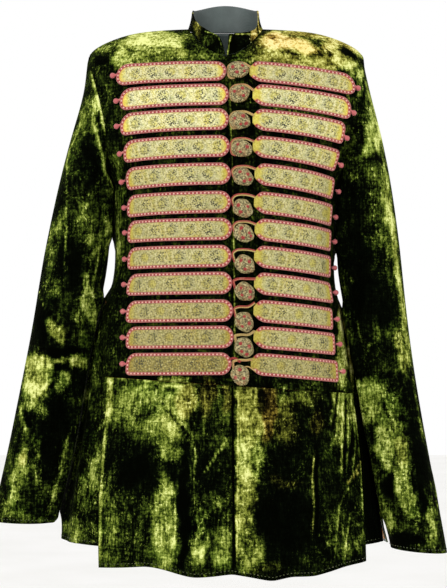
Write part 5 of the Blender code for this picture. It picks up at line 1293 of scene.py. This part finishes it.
def make_bars(brocade, border, bobble, cords, stitches):
    """Every bar's cloth with its corded and stitched border and its bobble."""
    for side, table in (("right", RIGHT_CORNERS), ("left", LEFT_CORNERS)):
        for number, values in enumerate(BARS, 1):
            row = dict(zip(BAR_COLUMNS, values), number=number)
            corners = [size * MM for size in table[min(number, len(table)) - 1]]
            face = BarFace(side, row)
            label = "{}_{:02d}".format(side, number)
            shift = REPEAT_SHIFT * (number + (3 if side == "left" else 0))
            field = new_piece("brocade_" + label, make_field(
                "brocade_" + label, face, side, corners, row[side + "_wear"], shift, brocade))
            node = "bar_" + label
            start = OPEN_BORDER if side == "left" else 0.0

            def border_path(inset, height, thread):
                along, up = outline(face, side, corners, inset, start)
                line, out = face.place(along, up, np.full(len(along), height))
                return (line, out, not start, thread)

            trims = [grow("cord", [border_path(inset, CORD_LIFT, thread)], cords, Radius=radius,
                          Sides=sides, Step=step, Material=border)
                     for inset, radius, sides, step, thread in BORDER_CORDS]
            trims.append(grow("dashes", [border_path(STITCH_LINE, STITCH_LIFT, 0.0)], stitches,
                              Spacing=STITCH_SPACING, Size=STITCH_SIZE, Turns=2, Material=border))
            trims.append(make_bobble("bobble", side, number, bobble))
            trim = join_meshes("border_" + label, trims)
            settle(field, "brocade", node)
            settle(trim, "cord", node)


# Knots and loops

def knot_frame(number, tree):
    """Middle of a knot's node, and the outward and upward directions of the cloth beneath."""
    low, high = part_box("knot_{:02d}".format(number))
    centre = (Vector(low) + Vector(high)) / 2.0
    spots = [meet(tree, centre.x + x, centre.z + z)[0]
             for x, z in ((-0.012, 0.0), (0.012, 0.0), (0.0, -0.012), (0.0, 0.012))]
    out = Vector((0.0, -1.0, 0.0))
    if all(spots):
        out = (spots[1] - spots[0]).cross(spots[3] - spots[2]).normalized()
        if out.y > 0.0:
            out.negate()
    up = (Vector((0.0, 0.0, 1.0)) - out * out.z).normalized()
    return centre, out, up


def make_knots(cloth, threads, cords, tree):
    """Egg-shaped buttons covered with netted silk, with red tufts."""
    for number, row in enumerate(KNOTS, 1):
        tilt = dict(zip(KNOT_COLUMNS, row))["turn"]
        name = "knot_{:02d}".format(number)
        centre, out, up = knot_frame(number, tree)
        side = up.cross(out).normalized()
        if side.x < 0.0:
            side.negate()
        turn = math.radians(tilt)
        long_way = side * math.cos(turn) + up * math.sin(turn)
        short_way = up * math.cos(turn) - side * math.sin(turn)

        def on_knot(across, upward, away):
            egg = 1.0 - KNOT_NARROWING * across
            return (centre + long_way * (KNOT_SIZE[0] * across) +
                    short_way * (KNOT_SIZE[2] * egg * upward) + out * (KNOT_SIZE[1] * away))

        points, uvs = [], []
        for i in range(KNOT_RINGS + 1):
            polar = math.pi * i / KNOT_RINGS
            for k in range(KNOT_SIDES):
                angle = 2.0 * math.pi * k / KNOT_SIDES
                ring = math.sin(polar)
                across, upward = ring * math.cos(angle), ring * math.sin(angle)
                # gathered net: soft ribs run from the rim to the middle of the face
                rib = 1.0 + 0.03 * math.sin(5.0 * angle + number) * ring
                points.append(on_knot(across * rib, upward * rib, math.cos(polar)))
                uvs.append((across * KNOT_SIZE[0], upward * KNOT_SIZE[2]))
        mesh = closed_mesh(name, points, ring_faces(KNOT_RINGS + 1, KNOT_SIDES), cloth, uvs,
                           merge=0.02 * MM)

        tufts = []
        for k, (across, upward) in enumerate(TUFTS[:3 + number % 2]):
            swing_round = 0.35 * math.sin(number * 2.4 + k)
            across, upward = (across * math.cos(swing_round) - upward * math.sin(swing_round),
                              across * math.sin(swing_round) + upward * math.cos(swing_round))
            away = math.sqrt(max(1.0 - across ** 2 - upward ** 2, 0.0))
            spot = on_knot(across, upward, away)
            size = TUFT_RADIUS * (0.8 + 0.2 * math.cos(3.0 * k + number))
            for angle in (0.0, 45.0, 90.0, 135.0):
                spin = math.radians(angle + 20.0 * k)
                reach = (long_way * math.cos(spin) + short_way * math.sin(spin)) * size
                tufts.append(([spot - reach - out * 0.4 * MM, spot + out * 0.5 * MM,
                               spot + reach - out * 0.4 * MM], [out] * 3, False, 0.0))
        dots = grow("tufts", tufts, cords, Radius=TUFT_THREAD, Sides=5, Step=TUFT_THREAD,
                    Material=threads)
        piece = join_meshes("button_{:02d}".format(number), [mesh, dots])
        settle(piece, "knot", name)


def round_off(points, steps=5):
    """Smooth line through points."""
    line = []
    ends = [points[0] * 2.0 - points[1]] + list(points) + [points[-1] * 2.0 - points[-2]]
    for a, b, c, d in zip(ends, ends[1:], ends[2:], ends[3:]):
        for k in range(steps):
            t = k / steps
            line.append(0.5 * (2.0 * b + (c - a) * t + (2.0 * a - 5.0 * b + 4.0 * c - d) * t ** 2 +
                               (3.0 * b - a - 3.0 * c + d) * t ** 3))
    return line + [points[-1]]


def loop_route(row, knot, loop):
    """Places of a loop across and up: out from under the knot on its outer side, up over it, and
    across to the left bar's end."""
    left = row["right_start"] + 1.4 * MM
    right = row["left_start"] + 2.5 * MM
    middle = row["height"] - knot["drop"]
    reach, rise = knot["x"] - left, KNOT_SIZE[2] + 1.6 * MM
    points = []
    angle = loop["tail"]
    while angle > LOOP_TURN_END:
        turn = math.radians(angle)
        near = 1.0 if points else LOOP_TUCK
        points.append(Vector((knot["x"] + near * reach * math.cos(turn),
                              middle + near * rise * math.sin(turn))))
        angle -= LOOP_TURN_STEP
    for share, height in LOOP_RISE:
        points.append(Vector((left + share * (right - left), row["height"] +
                              height * loop["apex"])))
    points.append(Vector((right, row["height"] + loop["end"])))
    return round_off(points)


def make_loops(threads, cords):
    """Two cords side by side from bar to bar over each knot, which they hold."""
    for number in range(1, len(BARS) + 1):
        row = dict(zip(BAR_COLUMNS, BARS[number - 1]))
        knot = dict(zip(KNOT_COLUMNS, KNOTS[number - 1]))
        loop = dict(zip(LOOP_COLUMNS, LOOPS[number - 1]))
        label = "{:02d}".format(number)
        tree = catch_tree("front_right", "front_left", "bar_right_" + label, "bar_left_" + label)
        forward = Vector((0.0, -1.0, 0.0))
        route = loop_route(row, knot, loop)
        strands = [(route, LOOP_SPACING, loop["outer"]), (route, -LOOP_SPACING, loop["inner"])]
        if number == len(BARS):
            for start, spots, offsets, thread in LOWEST_STRANDS:
                line = round_off([Vector((row[start] + x * MM, row["height"] + z * MM))
                                  for x, z in spots])
                strands += [(line, offset * MM, thread) for offset in offsets]
        paths = []
        for line, offset, thread in strands:
            points, ups = [], []
            for before, here, after in zip([line[0]] + line, line, line[1:] + [line[-1]]):
                run = (after - before).normalized()
                x, z = here.x - run.y * offset, here.y + run.x * offset
                place = meet(tree, x, z)[0]
                if place is not None:
                    lift = OUTER_LIFT if offset > 0.0 else INNER_LIFT
                    points.append(place + forward * (LOOP_CORD + lift))
                    ups.append(forward)
            for _ in range(4):
                points[1:-1] = [(a + 2.0 * b + c) / 4.0
                                for a, b, c in zip(points, points[1:], points[2:])]
            paths.append((points, ups, False, thread))
        mesh = grow("loop", paths, cords, Radius=LOOP_CORD, Sides=8, Step=1.4 * MM,
                    Material=threads)
        piece = new_piece("corded_loop_" + label, mesh)
        settle(piece, "cord", "loop_" + label)


# Fine stitching

def hem_paths(nodes, centre, low, high, count):
    """Lines a little over the lowest edge of nodes, all round a centre, broken where it jumps."""
    tree = catch_tree(*nodes)
    paths, line, last = [], [], None
    for k in range(count + 1):
        turn = 2.0 * math.pi * k / count
        way = Vector((math.cos(turn), math.sin(turn), 0.0))

        def look(z):
            return tree.ray_cast(Vector((centre[0], centre[1], z)) + way * 0.5, -way, 0.5)

        bottom, top = low, high
        for _ in range(12):
            middle = (bottom + top) / 2.0
            if look(middle)[0] is None:
                bottom = middle
            else:
                top = middle
        place, normal = look(top + HEM_RISE)[:2]
        broken = place is None or (last is not None and (place - last).length > HEM_JUMP)
        if broken and len(line) > 2:
            paths.append(line)
        if broken:
            line = []
        if place is not None:
            line.append((place + normal * HEM_LIFT, normal))
        last = place
    if len(line) > 2:
        paths.append(line)
    return [([spot for spot, _ in line], [normal for _, normal in line], False, 0.0)
            for line in paths]


def seen_path(tree, spots):
    """Path through places that the camera sees, given on the plane of the arms."""
    eye = Vector((0.0, -CAMERA_DISTANCE, CAMERA_HEIGHT))
    line, ups = [], []
    for x, z in spots:
        way = Vector((x * MM, 0.0, z * MM)) - eye
        place, normal = tree.ray_cast(eye, way.normalized())[:2]
        if place is not None:
            line.append(place + normal * 0.3 * MM)
            ups.append(normal)
    return (line, ups, False, 0.0)


def make_stitching(green, pale, stitches):
    """Rows of fine green stitches over the hems and cuffs, and pale ones round the collar's tab."""
    paths = hem_paths(BODY_NODES, (0.0, 0.0), *HEM_RANGE, HEM_STEPS)
    for side in ("right", "left"):
        points = node_points("sleeve_" + side)
        lowest = points[:, 2].min()
        cuff = points[points[:, 2] < lowest + 30.0 * MM]
        centre = (cuff.min(axis=0) + cuff.max(axis=0)) / 2.0
        paths += hem_paths(("sleeve_" + side,), centre, lowest + CUFF_RANGE[0],
                           lowest + CUFF_RANGE[1], CUFF_STEPS)
    tab = round_off([Vector(spot) for spot in COLLAR_TAB], 4)
    collar = [seen_path(catch_tree("collar"), [(spot.x, spot.y) for spot in tab])]
    rows = [grow("stitching", lines, stitches, Spacing=HEM_SPACING, Size=HEM_STITCH, Turns=1,
                 Material=silk) for lines, silk in ((paths, green), (collar, pale))]
    settle(join_meshes("stitching", rows), "cord")


# Studio

def make_camera():
    data = bpy.data.cameras.new("camera")
    camera = new_object("camera", data)
    # the picture's long side is its height
    data.sensor_width = SENSOR
    data.lens = SENSOR * CAMERA_DISTANCE / (PIXEL * PICTURE[1])
    data.shift_x = (PICTURE[0] / 2.0 - MIDDLE_COLUMN) / PICTURE[1]
    data.shift_y = (HORIZON_ROW - PICTURE[1] / 2.0) / PICTURE[1]
    camera.location = (0.0, -CAMERA_DISTANCE, CAMERA_HEIGHT)
    camera.rotation_euler = (math.radians(90.0), 0.0, 0.0)
    bpy.context.scene.camera = camera


def make_light(name, place, target, size, power):
    data = bpy.data.lights.new(name, "AREA")
    data.shape = "RECTANGLE"
    data.size, data.size_y = size
    data.energy = power
    light = new_object(name, data)
    light.location = place
    light.rotation_euler = (Vector(target) - Vector(place)).to_track_quat("-Z", "Y").to_euler()


def make_studio():
    world = bpy.data.worlds.new("studio")
    bpy.context.scene.world = world
    world.use_nodes = True
    background = world.node_tree.nodes["Background"]
    background.inputs["Color"].default_value = (1.0, 1.0, 1.0, 1.0)
    background.inputs["Strength"].default_value = 1.0
    for light in LIGHTS:
        make_light(*light)
    material, add = new_finish("painted pale board")
    noise = add("TexNoise", add("TexCoord", out="Object"), 3.0, 2.0)
    shade = add("ValToRGB", noise, stops=((0.3, "#f3f2ef"), (0.7, "#f8f7f5")))
    cover(material, shade, None, {"Roughness": 0.9})
    mesh = bpy.data.meshes.new("floor")
    mesh.from_pydata([(-9.0, -7.0, FLOOR_HEIGHT), (9.0, -7.0, FLOOR_HEIGHT),
                      (9.0, 11.0, FLOOR_HEIGHT), (-9.0, 11.0, FLOOR_HEIGHT)], [], [(0, 1, 2, 3)])
    new_piece("floor", mesh, material)
    bpy.context.scene.view_settings.view_transform = "Standard"


make_camera()
make_studio()
velvet = make_velvet("crushed silk velvet")
lining = make_sateen("ochre cotton sateen", "#b57e33", "#7c511a", 0.6 * MM)
neck_lining = make_sateen("slate cotton sateen", "#56625f", "#262f2d", 0.6 * MM)
brocade = make_brocade()
border = make_thread("red and pink silk cord", ("#a0262b", "#e4b09f"))
bobble = make_thread("rose silk floss", ("#b9595a", "#e3a799"))
threads = make_thread("red and gilt silk cord", ("#a3241e", "#cf7458", "#ccb268"))
button = make_button_cloth()
cords, stitches = cord_tree(), stitch_tree()
make_panels(velvet, lining, neck_lining)
fronts = catch_tree("front_right", "front_left", "front_skirt_right", "front_skirt_left")
make_bars(brocade, border, bobble, cords, stitches)
make_knots(button, threads, cords, fronts)
make_loops(threads, cords)
green_silk = make_thread("green sewing silk", ("#4b5622", "#6c7836"))
pale_silk = make_thread("pale green sewing silk", ("#aab35c", "#c9cf80"))
make_stitching(green_silk, pale_silk, stitches)
back_lining = smooth_shell("skirt_lining", 2, "sateen_skirt_lining", lining)
settle(back_lining, "lining", "skirt_lining")
